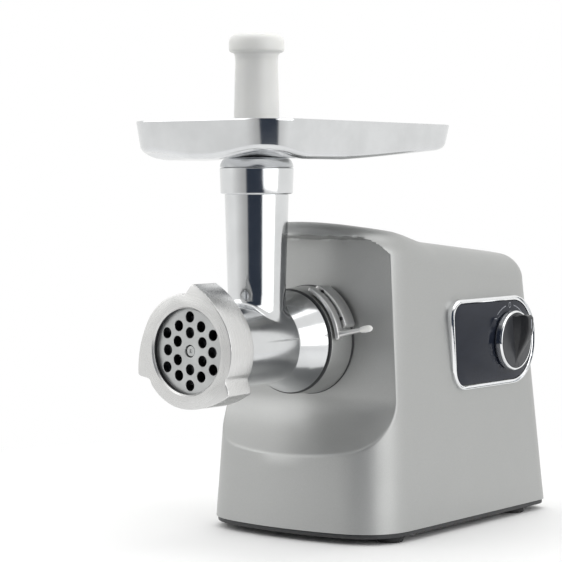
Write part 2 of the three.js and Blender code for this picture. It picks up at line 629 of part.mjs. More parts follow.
function worm() {
  const body = wormBody().add(squareBar(WORM.square, PLATE.thick + 0.4, WORM.start + 1))
    .add(rod('y', HEAD_CENTRE, WORM.journal, WORM.end - 1, COUPLING.start - GAP, 24));
  const pinHole = rod('y', HEAD_CENTRE, WORM.pinBore, 0, WORM.pinEnd + GAP, 16);
  const tailHole = rod('y', HEAD_CENTRE, WORM.tail + GAP, WORM.tailFrom - 1, COUPLING.start + 1);
  part('worm', cutAll(body, [pinHole, tailHole]), castAluminium());
}

// The steel pin that the plate turns on, with a small centre mark in its rounded end.
function wormPin() {
  const pin = turned('y', HEAD_CENTRE, [[0, 0.4], [1.6, 0.4], [1.6, 1.4], [WORM.pin - 0.6, 1.4],
    [WORM.pin, 2], [WORM.pin, WORM.pinEnd], [0, WORM.pinEnd]], 16);
  part('worm_pin', pin, steel());
}

function wormCoupling() {
  const tail = rod('y', HEAD_CENTRE, WORM.tail, WORM.tailFrom, COUPLING.start + 1);
  part('worm_coupling', prism('y', hexagon(COUPLING.hex), COUPLING.start, COUPLING.end).add(tail), nylon());
}

function cuttingBlade() {
  const armRear = BLADE.rear - 2;
  const [reach, half] = [BLADE.radius, BLADE.armHalf];
  const blade = rod('y', HEAD_CENTRE, BLADE.hub, BLADE.front, BLADE.rear, 24)
    .add(block([-reach, reach], [BLADE.front, armRear], [AXIS_Z - half, AXIS_Z + half]))
    .add(block([-half, half], [BLADE.front, armRear], [AXIS_Z - reach, AXIS_Z + reach]));
  part('cutting_blade', blade.subtract(squareBar(WORM.square + GAP, 0, BLADE.rear + 1)), steel());
}

// ---------- tray and pusher ----------
// The tray's outline drawn in by an inset: a rounded rectangle whose straight sides are cut into steps.
function trayOutline(inset) {
  const corner = TRAY.corner - inset;
  const half = TRAY.halfWidth - TRAY.corner;
  const [front, rear] = [TRAY.front + TRAY.corner, TRAY.rear - TRAY.corner];
  const arcs = [[half, rear, 0, 4], [-half, rear, 90, 8], [-half, front, 180, 4], [half, front, 270, 8]];
  const path = new THREE.Path();
  arcs.forEach(([x, y, start, steps], i) => {
    const [nextX, nextY, nextStart] = arcs[(i + 1) % arcs.length];
    path.absarc(x, y, corner, rad(start), rad(start + 90));
    const [fromX, fromY] = polar(corner, start + 90);
    const [toX, toY] = polar(corner, nextStart);
    for (let step = 1; step < steps; step++) {
      path.lineTo(THREE.MathUtils.lerp(x + fromX, nextX + toX, step / steps),
        THREE.MathUtils.lerp(y + fromY, nextY + toY, step / steps));
    }
  });
  return path.closePath().getPoints(3).slice(0, -1);
}

// Height of the tray's underside: flat round the tube, rising to the rear and to the front corners.
function trayUnderside({ x, y }) {
  const rearward = Math.max(y - TRAY.riseFrom, 0) / (TRAY.rear - TRAY.riseFrom);
  const outward = THREE.MathUtils.smoothstep(Math.abs(x), TRAY.liftInner, TRAY.liftOuter);
  const forward = 1 - THREE.MathUtils.smoothstep(y, TRAY.liftFront, TRAY.liftRear);
  return TRAY.underside + TRAY.rearRise * rearward ** TRAY.riseCurve + TRAY.cornerLift * outward * forward;
}

// A ring of the tray at an inset from its rim, its height worked out from the nearest place on the rim.
function trayRing(inset, heightAt) {
  const rim = trayOutline(0);
  return trayOutline(inset).map((p, i) => new THREE.Vector3(p.x, p.y, heightAt(rim[i])));
}

function roundRing(height, radius) {
  return trayOutline(0).map((p) => {
    const angle = Math.atan2(p.y - TUBE.y, p.x);
    return new THREE.Vector3(radius * Math.cos(angle), TUBE.y + radius * Math.sin(angle), height);
  });
}

function hopperTray() {
  const seat = TUBE.collarTop + GAP;
  const outside = TRAY_SECTION.map(([inset, rise]) => trayRing(inset, (p) => trayUnderside(p) + rise));
  const inside = TRAY_SECTION.map(([inset, rise]) =>
    trayRing(inset + TRAY.wall, (p) => trayUnderside(p) + rise + TRAY.wall));
  const rings = [
    roundRing(TRAY.stub, TRAY.holeRadius), roundRing(TRAY.stub, TRAY.neckOuter),
    roundRing(seat, TRAY.neckOuter), roundRing(seat, TRAY.shoulder), roundRing(seat + 3, TRAY.shoulder - 1.5),
    roundRing(TRAY.neckTop, TRAY.neck), ...outside,
    trayRing(0, () => TRAY.rim), trayRing(TRAY.wall, () => TRAY.rim), ...inside.reverse(),
    roundRing(TRAY.floor + GAP, TRAY.neck + 1.5), roundRing(TRAY.floor, TRAY.holeRadius),
  ];
  part('hopper_tray', loft(rings, { closed: true }), castAluminium());
}

function foodPusher() {
  const centre = [0, TUBE.y];
  const hollow = PUSHER.piston - PUSHER.wall;
  const body = turned('z', centre, [[0, PUSHER.bottom], [PUSHER.piston - 1, PUSHER.bottom],
    [PUSHER.piston, PUSHER.bottom + 2], [PUSHER.piston, PUSHER.flangeLow],
    [PUSHER.flange, PUSHER.flangeLow + 1], [PUSHER.flange, PUSHER.flangeHigh],
    [PUSHER.neckLow, PUSHER.flangeHigh + 1],
    [PUSHER.neckTop, PUSHER.bulbLow], [PUSHER.bulb - 1.2, PUSHER.bulbLow + 2.5],
    [PUSHER.bulb, PUSHER.bulbLow + 6], [PUSHER.bulb - 0.6, PUSHER.top - 4], [PUSHER.bulb - 3, PUSHER.top - 1],
    [0, PUSHER.top]]);
  const core = turned('z', centre, [[0, PUSHER.bottom - 1], [hollow, PUSHER.bottom - 1],
    [hollow, PUSHER.flangeLow - 1], [PUSHER.neckTop - PUSHER.wall, PUSHER.bulbLow], [0, PUSHER.bulbLow]], 16);
  part('food_pusher', body.subtract(core), milkWhite());
}

// ---------- gear train ----------
// A spur gear's outline: straight-sided stub teeth with room to run, one of them centred on an angle.
function gearOutline(centre, teeth, module, toothAngle) {
  const pitchRadius = (teeth * module) / 2;
  const tip = pitchRadius + 0.75 * module;
  const root = pitchRadius - 0.95 * module;
  const halfAtPitch = (0.36 * Math.PI * module) / 2;
  const lean = Math.tan(rad(20));
  const halfAt = (radius) => (halfAtPitch + (pitchRadius - radius) * lean) / radius;
  const points = [];
  for (let tooth = 0; tooth < teeth; tooth++) {
    const middle = rad(toothAngle) + (2 * Math.PI * tooth) / teeth;
    for (const [radius, side] of [[root, -1], [tip, -1], [tip, 1], [root, 1]]) {
      const angle = middle + side * halfAt(radius);
      points.push([centre[0] + radius * Math.cos(angle), centre[1] + radius * Math.sin(angle)]);
    }
  }
  return polygon(points);
}

// The centre of the next shaft, at an angle and at the stage's own centre distance.
function nextCentre(centre, stage, angle) {
  const distance = ((stage.pinion + stage.gear) * stage.module) / 2;
  const [x, rise] = polar(distance, angle);
  return [centre[0] + x, centre[1] + rise];
}

const [motorStage, middleStage, outputStage] = STAGES;
const SECOND_CENTRE = nextCentre(OUTPUT_CENTRE, outputStage, SECOND_ANGLE);
const FIRST_CENTRE = nextCentre(SECOND_CENTRE, middleStage, FIRST_ANGLE);
const MOTOR_CENTRE = nextCentre(FIRST_CENTRE, motorStage, MOTOR_ANGLE);

// A gear wheel with a bored hub, its gap towards the pinion that lies at an angle from it.
function wheel(centre, stage, pinionAngle) {
  const gap = pinionAngle + 180 / stage.gear;
  const outline = gearOutline(centre, stage.gear, stage.module, gap);
  const disc = prism('y', outline, stage.from, stage.to);
  return disc.subtract(rod('y', centre, SHAFT.hub + GAP, stage.from - 1, stage.to + 1));
}

// A pinion whose tooth points at its wheel, which lies at an angle from it.
function pinion(centre, stage, wheelAngle) {
  const outline = gearOutline(centre, stage.pinion, stage.module, wheelAngle);
  return prism('y', outline, stage.from - 1, stage.to + 0.5);
}

function outputShaft() {
  const inside = GEARBOX.front + GEARBOX.plate;
  const rear = GEARBOX.rear - 1;
  const { socketOuter, socketFrom, socketEnd } = COUPLING;
  const shaft = turned('y', OUTPUT_CENTRE, [[0, socketFrom], [socketOuter, socketFrom],
    [socketOuter, socketEnd], [SHAFT.outputJournal, socketEnd + 0.5],
    [SHAFT.outputJournal, inside + 1], [SHAFT.hub, inside + 1.5], [SHAFT.hub, outputStage.to + 2],
    [SHAFT.outputTail, outputStage.to + 2], [SHAFT.outputTail, rear], [0, rear]]);
  const socket = prism('y', hexagon(COUPLING.socket), socketFrom - 1, COUPLING.end + 2);
  part('output_shaft', shaft.subtract(socket), steel());
}

// A shaft between two stages: a plain seat for its own wheel behind the pinion that drives the next stage.
function stepShaft(name, centre, driven, driving, seat, wheelAngle) {
  const [front, rear] = [GEARBOX.front + 1, GEARBOX.rear - 1];
  const shaft = turned('y', centre, [[0, front], [SHAFT.journal, front], [SHAFT.journal, driving.from],
    [seat, driving.from], [seat, driving.to], [SHAFT.hub, driving.to + 1], [SHAFT.hub, driven.to],
    [SHAFT.journal, driven.to + 1], [SHAFT.journal, rear], [0, rear]], 20);
  part(name, shaft.add(pinion(centre, driving, wheelAngle)), steel());
}

function gearTrain() {
  part('output_gear', wheel(OUTPUT_CENTRE, outputStage, SECOND_ANGLE), castIron());
  outputShaft();
  part('second_gear', wheel(SECOND_CENTRE, middleStage, FIRST_ANGLE), nylon());
  stepShaft('second_shaft', SECOND_CENTRE, middleStage, outputStage, 8.6, SECOND_ANGLE + 180);
  part('first_gear', wheel(FIRST_CENTRE, motorStage, MOTOR_ANGLE), nylon());
  stepShaft('first_shaft', FIRST_CENTRE, motorStage, middleStage, 5, FIRST_ANGLE + 180);
}

function gearbox() {
  const { left, low, right, high, corner, wall, front, rear, plate } = GEARBOX;
  const outline = roundedRect(left, low, right, high, corner);
  const inner = roundedRect(left + wall, low + wall, right - wall, high - wall, corner - wall);
  const bore = ([centre, radius]) => rod('y', centre, radius, front - 30, rear + 10, 20);
  const stepBores = [SECOND_CENTRE, FIRST_CENTRE].map((centre) => [centre, SHAFT.journal + GAP]);

  const boss = rod('y', OUTPUT_CENTRE, 20, GEARBOX.bossFront, front + 1, 24);
  const frontPlate = prism('y', outline, front, front + plate).add(boss);
  const frontBores = [...stepBores, [OUTPUT_CENTRE, GEARBOX.bearing + GAP]];
  part('gearbox_front', cutAll(frontPlate, frontBores.map(bore)), castAluminium());
  part('output_bearing', ring('y', OUTPUT_CENTRE, SHAFT.outputJournal + GAP, GEARBOX.bearing,
    GEARBOX.bossFront + 0.5, front + plate - 0.5), brass());

  const hollow = prism('y', inner, front, rear - plate);
  const rearCase = prism('y', outline, front + plate + GAP, rear).subtract(hollow);
  const rearBores = [...stepBores, [OUTPUT_CENTRE, SHAFT.outputTail + GAP], [MOTOR_CENTRE, MOTOR.shaft + 1]];
  part('gearbox_rear', cutAll(rearCase, rearBores.map(bore)), castAluminium());
}

// ---------- motor ----------
// A plate standing out from the motor's axis, as wide as its geometry and turned to one of so many places.
function radialPlate(size, middleRadius, middleY, place, places) {
  const plate = new THREE.BoxGeometry(...size).translate(middleRadius, 0, 0);
  plate.rotateY((2 * Math.PI * place) / places).translate(MOTOR_CENTRE[0], middleY, MOTOR_CENTRE[1]);
  return solid(plate);
}

function rotorCore() {
  const length = MOTOR.stackTo - MOTOR.stackFrom;
  const middle = (MOTOR.stackFrom + MOTOR.stackTo) / 2;
  let core = ring('y', MOTOR_CENTRE, MOTOR.shaft + GAP, MOTOR.core, MOTOR.stackFrom, MOTOR.stackTo, 36);
  for (let i = 0; i < MOTOR.slots; i++) {
    core = core.subtract(radialPlate([7, length + 2, 2.4], MOTOR.core - 2, middle, i, MOTOR.slots));
  }
  part('rotor_core', core, castIron());
}

function coolingFan() {
  const depth = MOTOR.fanTo - MOTOR.fanFrom;
  const middle = (MOTOR.fanFrom + MOTOR.fanTo) / 2;
  let fan = ring('y', MOTOR_CENTRE, MOTOR.shaft + GAP, MOTOR.fan, MOTOR.fanTo - 1.5, MOTOR.fanTo, 20);
  fan = fan.add(ring('y', MOTOR_CENTRE, MOTOR.shaft + GAP, 9, MOTOR.fanFrom, MOTOR.fanTo, FINE_SIDES));
  for (let i = 0; i < MOTOR.blades; i++) {
    fan = fan.add(radialPlate([20, depth, 1.4], 21, middle, i, MOTOR.blades));
  }
  part('cooling_fan', fan, blackPlastic());
}

function motorRotor() {
  const shaft = turned('y', MOTOR_CENTRE, [[0, motorStage.from - 3], [3.6, motorStage.from - 3],
    [3.6, motorStage.to + 1], [MOTOR.shaft, motorStage.to + 2], [MOTOR.shaft, MOTOR.shaftEnd],
    [0, MOTOR.shaftEnd]], 16);
  part('motor_shaft', shaft.add(pinion(MOTOR_CENTRE, motorStage, MOTOR_ANGLE + 180)), steel());
  rotorCore();
  part('commutator', ring('y', MOTOR_CENTRE, MOTOR.shaft + GAP, MOTOR.commutator, MOTOR.commutatorFrom,
    MOTOR.commutatorTo), copper());
  coolingFan();
}

function motorField() {
  const [x, z] = MOTOR_CENTRE;
  const [front, rear] = [MOTOR.stackFrom - 1, MOTOR.stackTo + 1];
  const outer = roundedRect(x - MOTOR.outer, z - MOTOR.outer, x + MOTOR.outer, z + MOTOR.outer, 16);
  let stack = prism('y', outer, MOTOR.stackFrom, MOTOR.stackTo);
  stack = stack.subtract(rod('y', MOTOR_CENTRE, MOTOR.bore, front, rear, 32));
  for (const side of [-1, 1]) {
    for (const up of [-1, 1]) {
      const windingSpace = between([x + side * 20, x + side * 33], [front, rear], [z + up * 9, z + up * 33]);
      stack = stack.subtract(windingSpace);
    }
  }
  part('motor_stator', stack, castIron());
  for (const [name, up] of [['field_coil_upper', 1], ['field_coil_lower', -1]]) {
    const low = z + (up > 0 ? COIL.inner : -COIL.inner - COIL.depth);
    const winding = block([x - COIL.half, x + COIL.half],
      [MOTOR.stackFrom - COIL.over, MOTOR.stackTo + COIL.over], [low, low + COIL.depth]);
    const window = block([x - COIL.window, x + COIL.window], [MOTOR.stackFrom - GAP, MOTOR.stackTo + GAP],
      [low - 1, low + COIL.depth + 1]);
    part(name, winding.subtract(window), copper());
  }
}

function motorEnd() {
  const [x, z] = MOTOR_CENTRE;
  const { half, front, rear } = BRACKET;
  const bar = roundedRect(x - MOTOR.outer, z - half, x + MOTOR.outer, z + half, 8);
  const bore = rod('y', MOTOR_CENTRE, MOTOR.shaft + GAP, front - 1, rear + 1);
  part('motor_bracket', prism('y', bar, front, rear).subtract(bore), castAluminium());
  for (const [name, side] of [['brush_holder_left', -1], ['brush_holder_right', 1]]) {
    const inner = x + side * (MOTOR.commutator + BRUSH.gap);
    const outer = x + side * (MOTOR.commutator + BRUSH.length);
    part(name, between([inner, outer], [MOTOR.commutatorFrom + 2, MOTOR.commutatorTo - 2],
      [z - BRUSH.half, z + BRUSH.half]), brass());
  }
}

// The switch's circuit board, with a transformer and a round capacitor standing on it.
function circuitBoard() {
  const { x, thick, front, rear, low, high } = BOARD;
  const transformer = block([x + 1, x + 16], [front + 8, front + 30], [low + 12, low + 32]);
  const capacitor = rod('x', [rear - 20, (low + high) / 2], 7, x + 1, x + 20, 16);
  const board = block([x, x + thick], [front, rear], [low, high]);
  part('circuit_board', board.add(transformer).add(capacitor), circuitGreen());
}

function cordInlet() {
  const wall = HOUSING.rear - HOUSING.rearDraft * (INLET.z - HOUSING.bottom) + 1.4;
  const end = HOUSING.rear - 0.2;
  const gland = turned('y', [INLET.x, INLET.z], [[INLET.bore, INLET.front], [INLET.radius, INLET.front],
    [INLET.radius, wall], [INLET.flange, wall], [INLET.flange, end], [INLET.bore, end],
    [INLET.bore, INLET.front]], 20);
  part('cord_inlet', gland, rubber());
}

housingShell();
basePlate();
feet();
baseScrews();
controlPanel();
rotarySwitch();
knob();
socketCollar();
lockLever();
lockGuide();
grinderHead();
cuttingPlate();
ringNut();
worm();
wormPin();
wormCoupling();
cuttingBlade();
hopperTray();
foodPusher();
gearTrain();
gearbox();
motorRotor();
motorField();
motorEnd();
circuitBoard();
cordInlet();

// The origin is under the middle of the part's outer box, on the table.
model.position.set(-(KNOB.tip - HOUSING.halfWidth) / 2, -(HOUSING.rear + NUT.front) / 2, 0);

export default model;
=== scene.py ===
"""Electric meat grinder: the visual model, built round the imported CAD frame.

Lengths in the makers below are millimetres from the middle of the cutting plate's front face,
with heights counted from the table. place() turns them into the frame's metres.
"""

import json
from math import atan2, cos, hypot, pi, radians, sin, sqrt, tan

import bmesh
import bpy
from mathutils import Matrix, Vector


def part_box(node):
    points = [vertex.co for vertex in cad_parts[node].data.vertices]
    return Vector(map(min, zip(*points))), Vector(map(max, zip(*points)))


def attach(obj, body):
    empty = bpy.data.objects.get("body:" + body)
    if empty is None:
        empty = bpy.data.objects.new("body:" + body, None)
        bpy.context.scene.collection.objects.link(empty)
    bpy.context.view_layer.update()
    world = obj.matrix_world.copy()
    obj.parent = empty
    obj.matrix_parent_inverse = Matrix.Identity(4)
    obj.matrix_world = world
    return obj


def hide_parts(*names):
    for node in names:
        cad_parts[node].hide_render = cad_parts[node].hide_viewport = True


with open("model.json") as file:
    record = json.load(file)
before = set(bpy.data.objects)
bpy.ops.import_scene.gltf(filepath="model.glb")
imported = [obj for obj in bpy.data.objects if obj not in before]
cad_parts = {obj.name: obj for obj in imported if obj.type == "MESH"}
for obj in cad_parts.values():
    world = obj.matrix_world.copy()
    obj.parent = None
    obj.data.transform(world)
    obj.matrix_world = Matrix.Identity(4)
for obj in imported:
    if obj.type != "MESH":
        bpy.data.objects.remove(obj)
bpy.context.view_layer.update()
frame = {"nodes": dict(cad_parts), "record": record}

# ---------- places taken from the frame ----------
MM = 0.001
PLATE_LOW, PLATE_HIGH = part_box("cutting_plate")
HEAD_X = (PLATE_LOW[0] + PLATE_HIGH[0]) / 2
PLATE_Y = PLATE_LOW[1]
AXIS_Z = (PLATE_LOW[2] + PLATE_HIGH[2]) / 2 / MM
HEAD_AXIS = (0, AXIS_Z)


def place(point):
    return Vector((HEAD_X + point[0] * MM, PLATE_Y + point[1] * MM, point[2] * MM))


def span(node):
    """Lowest and highest corner of a CAD node in the makers' millimetres."""
    low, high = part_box(node)
    shift = (HEAD_X, PLATE_Y, 0)
    return ([(low[i] - shift[i]) / MM for i in range(3)], [(high[i] - shift[i]) / MM for i in range(3)])


def lerp(a, b, share):
    return a + (b - a) * share


def smoothstep(t):
    t = min(max(t, 0), 1)
    return t * t * (3 - 2 * t)


# ---------- materials ----------
class Graph:
    """Shader nodes under construction, with short calls for the common ones."""

    def __init__(self, tree):
        self.tree = tree

    def node(self, kind, **settings):
        made = self.tree.nodes.new(kind)
        for key, value in settings.items():
            setattr(made, key, value)
        return made

    def link(self, output, target):
        self.tree.links.new(output, target)

    def math(self, operation, first, second=None):
        made = self.node("ShaderNodeMath", operation=operation)
        for socket, value in zip(made.inputs, (first, second)):
            if value is None:
                continue
            if isinstance(value, (int, float)):
                socket.default_value = value
            else:
                self.link(value, socket)
        return made.outputs["Value"]

    def ranged(self, value, low, high, from_low=0.3, from_high=0.7, curve="LINEAR"):
        """A value carried from one range to another, and held at the ends."""
        made = self.node("ShaderNodeMapRange", interpolation_type=curve)
        self.link(value, made.inputs["Value"])
        limits = (("From Min", from_low), ("From Max", from_high), ("To Min", low), ("To Max", high))
        for name, number in limits:
            made.inputs[name].default_value = number
        return made.outputs["Result"]


class Look(Graph):
    """A material: a Principled shader with short calls for its detail."""

    def __init__(self, name, color, roughness, metallic=0.0):
        self.material = bpy.data.materials.new(name)
        self.material.use_nodes = True
        super().__init__(self.material.node_tree)
        self.shader = self.tree.nodes["Principled BSDF"]
        self.shader.inputs["Base Color"].default_value = (*color, 1)
        self.shader.inputs["Roughness"].default_value = roughness
        self.shader.inputs["Metallic"].default_value = metallic
        self.roughness = roughness
        self.coordinates = self.node("ShaderNodeTexCoord").outputs["Object"]
        self.normal = None

    def set(self, **values):
        for key, value in values.items():
            self.shader.inputs[key.replace("_", " ")].default_value = value
        return self

    def noise(self, scale, stretch=(1, 1, 1), detail=4, roughness=0.55):
        """Noise of so many grains to the metre, stretched along an axis."""
        mapping = self.node("ShaderNodeMapping")
        mapping.inputs["Scale"].default_value = stretch
        self.link(self.coordinates, mapping.inputs["Vector"])
        noise = self.node("ShaderNodeTexNoise")
        noise.inputs["Scale"].default_value = scale
        noise.inputs["Detail"].default_value = detail
        noise.inputs["Roughness"].default_value = roughness
        self.link(mapping.outputs["Vector"], noise.inputs["Vector"])
        return noise.outputs["Fac"]

    def rings(self, axis, centre, scale, detail=2):
        """Fine circular marks about an axis, as a lathe leaves them."""
        split = self.node("ShaderNodeSeparateXYZ")
        self.link(self.coordinates, split.inputs["Vector"])
        across = [i for i in range(3) if i != "XYZ".index(axis)]
        squares = []
        for i, middle in zip(across, centre):
            shifted = self.math("SUBTRACT", split.outputs[i], middle)
            squares.append(self.math("MULTIPLY", shifted, shifted))
        radius = self.math("SQRT", self.math("ADD", *squares))
        along = split.outputs["XYZ".index(axis)]
        joined = self.node("ShaderNodeCombineXYZ")
        self.link(radius, joined.inputs["X"])
        self.link(along, joined.inputs["Y"])
        noise = self.node("ShaderNodeTexNoise")
        noise.inputs["Scale"].default_value = scale
        noise.inputs["Detail"].default_value = detail
        self.link(joined.outputs["Vector"], noise.inputs["Vector"])
        return noise.outputs["Fac"]

    def tint(self, value, dark, light, low=0.3, high=0.7):
        """Colour that runs from dark to light with a value."""
        ramp = self.node("ShaderNodeValToRGB")
        ramp.color_ramp.elements[0].position = low
        ramp.color_ramp.elements[0].color = (*dark, 1)
        ramp.color_ramp.elements[1].position = high
        ramp.color_ramp.elements[1].color = (*light, 1)
        self.link(value, ramp.inputs["Fac"])
        self.link(ramp.outputs["Color"], self.shader.inputs["Base Color"])
        return self

    def uneven(self, value, spread):
        """Roughness that varies about its own value."""
        self.link(self.ranged(value, self.roughness - spread, self.roughness + spread),
                  self.shader.inputs["Roughness"])
        return self

    def bump(self, value, depth, strength=1.0):
        """Relief of so many millimetres, on top of any before it."""
        made = self.node("ShaderNodeBump")
        made.inputs["Strength"].default_value = strength
        made.inputs["Distance"].default_value = depth * MM
        self.link(value, made.inputs["Height"])
        if self.normal:
            self.link(self.normal, made.inputs["Normal"])
        self.normal = made.outputs["Normal"]
        self.link(self.normal, self.shader.inputs["Normal"])
        return self


def shade(color, factor):
    return tuple(min(channel * factor, 1) for channel in color)


def painted_silver():
    """Satin silver paint: metal flake under a thin clear layer, with the faint waviness of a moulding."""
    color = (0.41, 0.415, 0.41)
    look = Look("painted_silver", color, 0.43, 0.75)
    flake = look.noise(2600, detail=2)
    look.tint(flake, shade(color, 0.93), shade(color, 1.06))
    look.uneven(look.noise(30), 0.03)
    look.bump(look.noise(900, detail=3), 0.012, 0.5)
    look.bump(look.noise(14, detail=2), 0.10, 0.25)
    look.set(Coat_Weight=0.12, Coat_Roughness=0.25)
    return look.material


def polished_casting(name="polished_casting", axis="Z", centre=(0, 0), roughness=0.13):
    """Polished cast aluminium with buffing lines round its axis and soft cloudiness."""
    color = (0.68, 0.69, 0.70)
    look = Look(name, color, roughness, 1.0)
    cloud = look.noise(45, detail=5)
    look.tint(cloud, shade(color, 0.93), shade(color, 1.03))
    lines = look.rings(axis, centre, 1500)
    look.uneven(look.math("ADD", look.math("MULTIPLY", lines, 0.5), look.math("MULTIPLY", cloud, 0.5)), 0.05)
    look.bump(lines, 0.006, 0.35)
    look.bump(look.noise(60, detail=2), 0.05, 0.12)
    return look.material


def satin_casting(name="satin_casting", axis="Y", centre=(0, 0), roughness=0.34):
    """Turned aluminium with a satin face."""
    color = (0.66, 0.66, 0.655)
    look = Look(name, color, roughness, 0.9)
    lines = look.rings(axis, centre, 2200)
    look.tint(look.noise(60, detail=4), shade(color, 0.95), shade(color, 1.03))
    look.uneven(lines, 0.06)
    look.bump(lines, 0.005, 0.25)
    return look.material


def ground_steel(name="ground_steel", axis="Y", centre=(0, 0), color=(0.52, 0.53, 0.53), roughness=0.36):
    look = Look(name, color, roughness, 0.9)
    lines = look.rings(axis, centre, 2600)
    look.tint(look.noise(90, detail=5), shade(color, 0.88), shade(color, 1.06))
    look.uneven(lines, 0.07)
    look.bump(lines, 0.015, 0.5)
    return look.material


def grained(name, color, roughness, metallic, tint, uneven, bump):
    """A finish of three noises: one tints it, one varies its roughness and one raises its relief.

    Each is the noise's own settings with its two amounts: darkest and lightest, spread, depth and strength.
    """
    look = Look(name, color, roughness, metallic)
    settings, dark, light = tint
    look.tint(look.noise(**settings), shade(color, dark), shade(color, light))
    settings, spread = uneven
    look.uneven(look.noise(**settings), spread)
    settings, depth, strength = bump
    look.bump(look.noise(**settings), depth, strength)
    return look.material


def bright_chrome():
    return grained("bright_chrome", (0.86, 0.87, 0.88), 0.06, 1.0, ({"scale": 70}, 0.97, 1.02),
                   ({"scale": 220, "detail": 5}, 0.025), ({"scale": 90}, 0.02, 0.1))


def gloss_panel():
    """Gloss black plate with a hint of navy and faint wipe marks."""
    color = (0.012, 0.015, 0.024)
    look = Look("gloss_panel", color, 0.14)
    wipes = look.noise(40, (1, 1, 3), detail=5)
    look.tint(wipes, shade(color, 0.9), shade(color, 1.15))
    look.uneven(wipes, 0.05)
    look.bump(look.noise(25), 0.03, 0.15)
    look.set(Specular_IOR_Level=0.22)
    return look.material


def moulded_plastic(name, color, roughness, grain=0.03):
    """Moulded plastic with a fine spark-eroded grain."""
    return grained(name, color, roughness, 0.0, ({"scale": 120, "detail": 4}, 0.88, 1.12),
                   ({"scale": 300, "detail": 4}, 0.06), ({"scale": 1400, "detail": 3}, grain, 0.6))


def milky_plastic():
    """White food-grade plastic that lets a little light in."""
    color = (0.77, 0.77, 0.75)
    look = Look("milky_plastic", color, 0.34)
    look.tint(look.noise(35, detail=3), shade(color, 0.985), shade(color, 1.01))
    look.uneven(look.noise(160, detail=4), 0.05)
    look.bump(look.noise(500, detail=3), 0.012, 0.4)
    look.set(Subsurface_Weight=0.35, Subsurface_Radius=(0.004, 0.004, 0.0036), Subsurface_Scale=1.0)
    return look.material


def soft_rubber():
    return grained("soft_rubber", (0.018, 0.018, 0.019), 0.75, 0.0, ({"scale": 200}, 0.7, 1.5),
                   ({"scale": 240}, 0.1), ({"scale": 900, "detail": 4}, 0.05, 0.7))


def rough_iron():
    return grained("rough_iron", (0.20, 0.205, 0.21), 0.5, 0.8, ({"scale": 160}, 0.7, 1.25),
                   ({"scale": 90}, 0.12), ({"scale": 400, "stretch": (1, 3, 1)}, 0.05, 0.6))


def winding_copper():
    color = (0.42, 0.14, 0.05)
    look = Look("winding_copper", color, 0.35, 0.8)
    strands = look.noise(900, (1, 0.05, 1), detail=1)
    look.tint(strands, shade(color, 0.6), shade(color, 1.2))
    look.uneven(strands, 0.08)
    look.bump(strands, 0.12, 0.8)
    return look.material


def turned_brass():
    return grained("turned_brass", (0.56, 0.40, 0.14), 0.3, 1.0, ({"scale": 120}, 0.85, 1.1),
                   ({"scale": 600, "stretch": (1, 4, 1)}, 0.08),
                   ({"scale": 900, "stretch": (1, 6, 1)}, 0.02, 0.5))


def board_green():
    return grained("board_green", (0.015, 0.11, 0.05), 0.35, 0.0,
                   ({"scale": 260, "stretch": (1, 5, 1)}, 0.6, 1.8), ({"scale": 300}, 0.08),
                   ({"scale": 500}, 0.04, 0.6))


# ---------- mesh helpers ----------
FACETS = 128


def fillet(points, closed=False, steps=5):
    """A run of (u, v) or (u, v, radius) points, with an arc of that radius at each corner that has one."""
    out = []
    count = len(points)
    for i, point in enumerate(points):
        radius = point[2] if len(point) > 2 else 0
        inner = closed or 0 < i < count - 1
        here = Vector(point[:2])
        if not radius or not inner:
            out.append(tuple(here))
            continue
        before, after = Vector(points[i - 1][:2]) - here, Vector(points[(i + 1) % count][:2]) - here
        if before.length < 1e-9 or after.length < 1e-9:
            out.append(tuple(here))
            continue
        angle = before.angle(after)
        if angle > pi - 0.02:
            out.append(tuple(here))
            continue
        reach = min(radius / tan(angle / 2), before.length * 0.49, after.length * 0.49)
        radius = reach * tan(angle / 2)
        start, end = here + before.normalized() * reach, here + after.normalized() * reach
        middle = here + (before.normalized() + after.normalized()).normalized() * (radius / sin(angle / 2))
        a, b = start - middle, end - middle
        sweep = a.angle_signed(b)
        for step in range(steps + 1):
            turn = -sweep * step / steps
            across = middle.x + a.x * cos(turn) - a.y * sin(turn)
            out.append((across, middle.y + a.x * sin(turn) + a.y * cos(turn)))
    return out


def raw_mesh(name, points, faces):
    mesh = bpy.data.meshes.new(name)
    mesh.from_pydata([place(p) for p in points], [], faces)
    tidy = bmesh.new()
    tidy.from_mesh(mesh)
    bmesh.ops.remove_doubles(tidy, verts=tidy.verts, dist=1e-7)
    bmesh.ops.dissolve_degenerate(tidy, edges=tidy.edges, dist=1e-8)
    bmesh.ops.recalc_face_normals(tidy, faces=tidy.faces)
    tidy.to_mesh(mesh)
    tidy.free()
    made = bpy.data.objects.new(name, mesh)
    bpy.context.scene.collection.objects.link(made)
    return made


def axis_point(axis, centre, u, v, along):
    """A point u and v across an axis through a centre, at a place along it."""
    if axis == "X":
        return (along, centre[0] + u, centre[1] + v)
    if axis == "Y":
        return (centre[0] + u, along, centre[1] + v)
    return (centre[0] + u, centre[1] + v, along)


def lathe(name, axis, centre, profile, facets=FACETS, closed=False):
    """A profile of (radius, place) pairs, with optional corner radii, turned about an axis."""
    profile = fillet(profile, closed)
    if closed:
        profile = profile + profile[:1]
    points, faces = [], []
    for radius, along in profile:
        for i in range(facets):
            angle = 2 * pi * i / facets
            points.append(axis_point(axis, centre, radius * cos(angle), radius * sin(angle), along))
    for row in range(len(profile) - 1):
        for i in range(facets):
            j = (i + 1) % facets
            low, high = row * facets, (row + 1) * facets
            faces.append((low + i, low + j, high + j, high + i))
    return raw_mesh(name, points, faces)


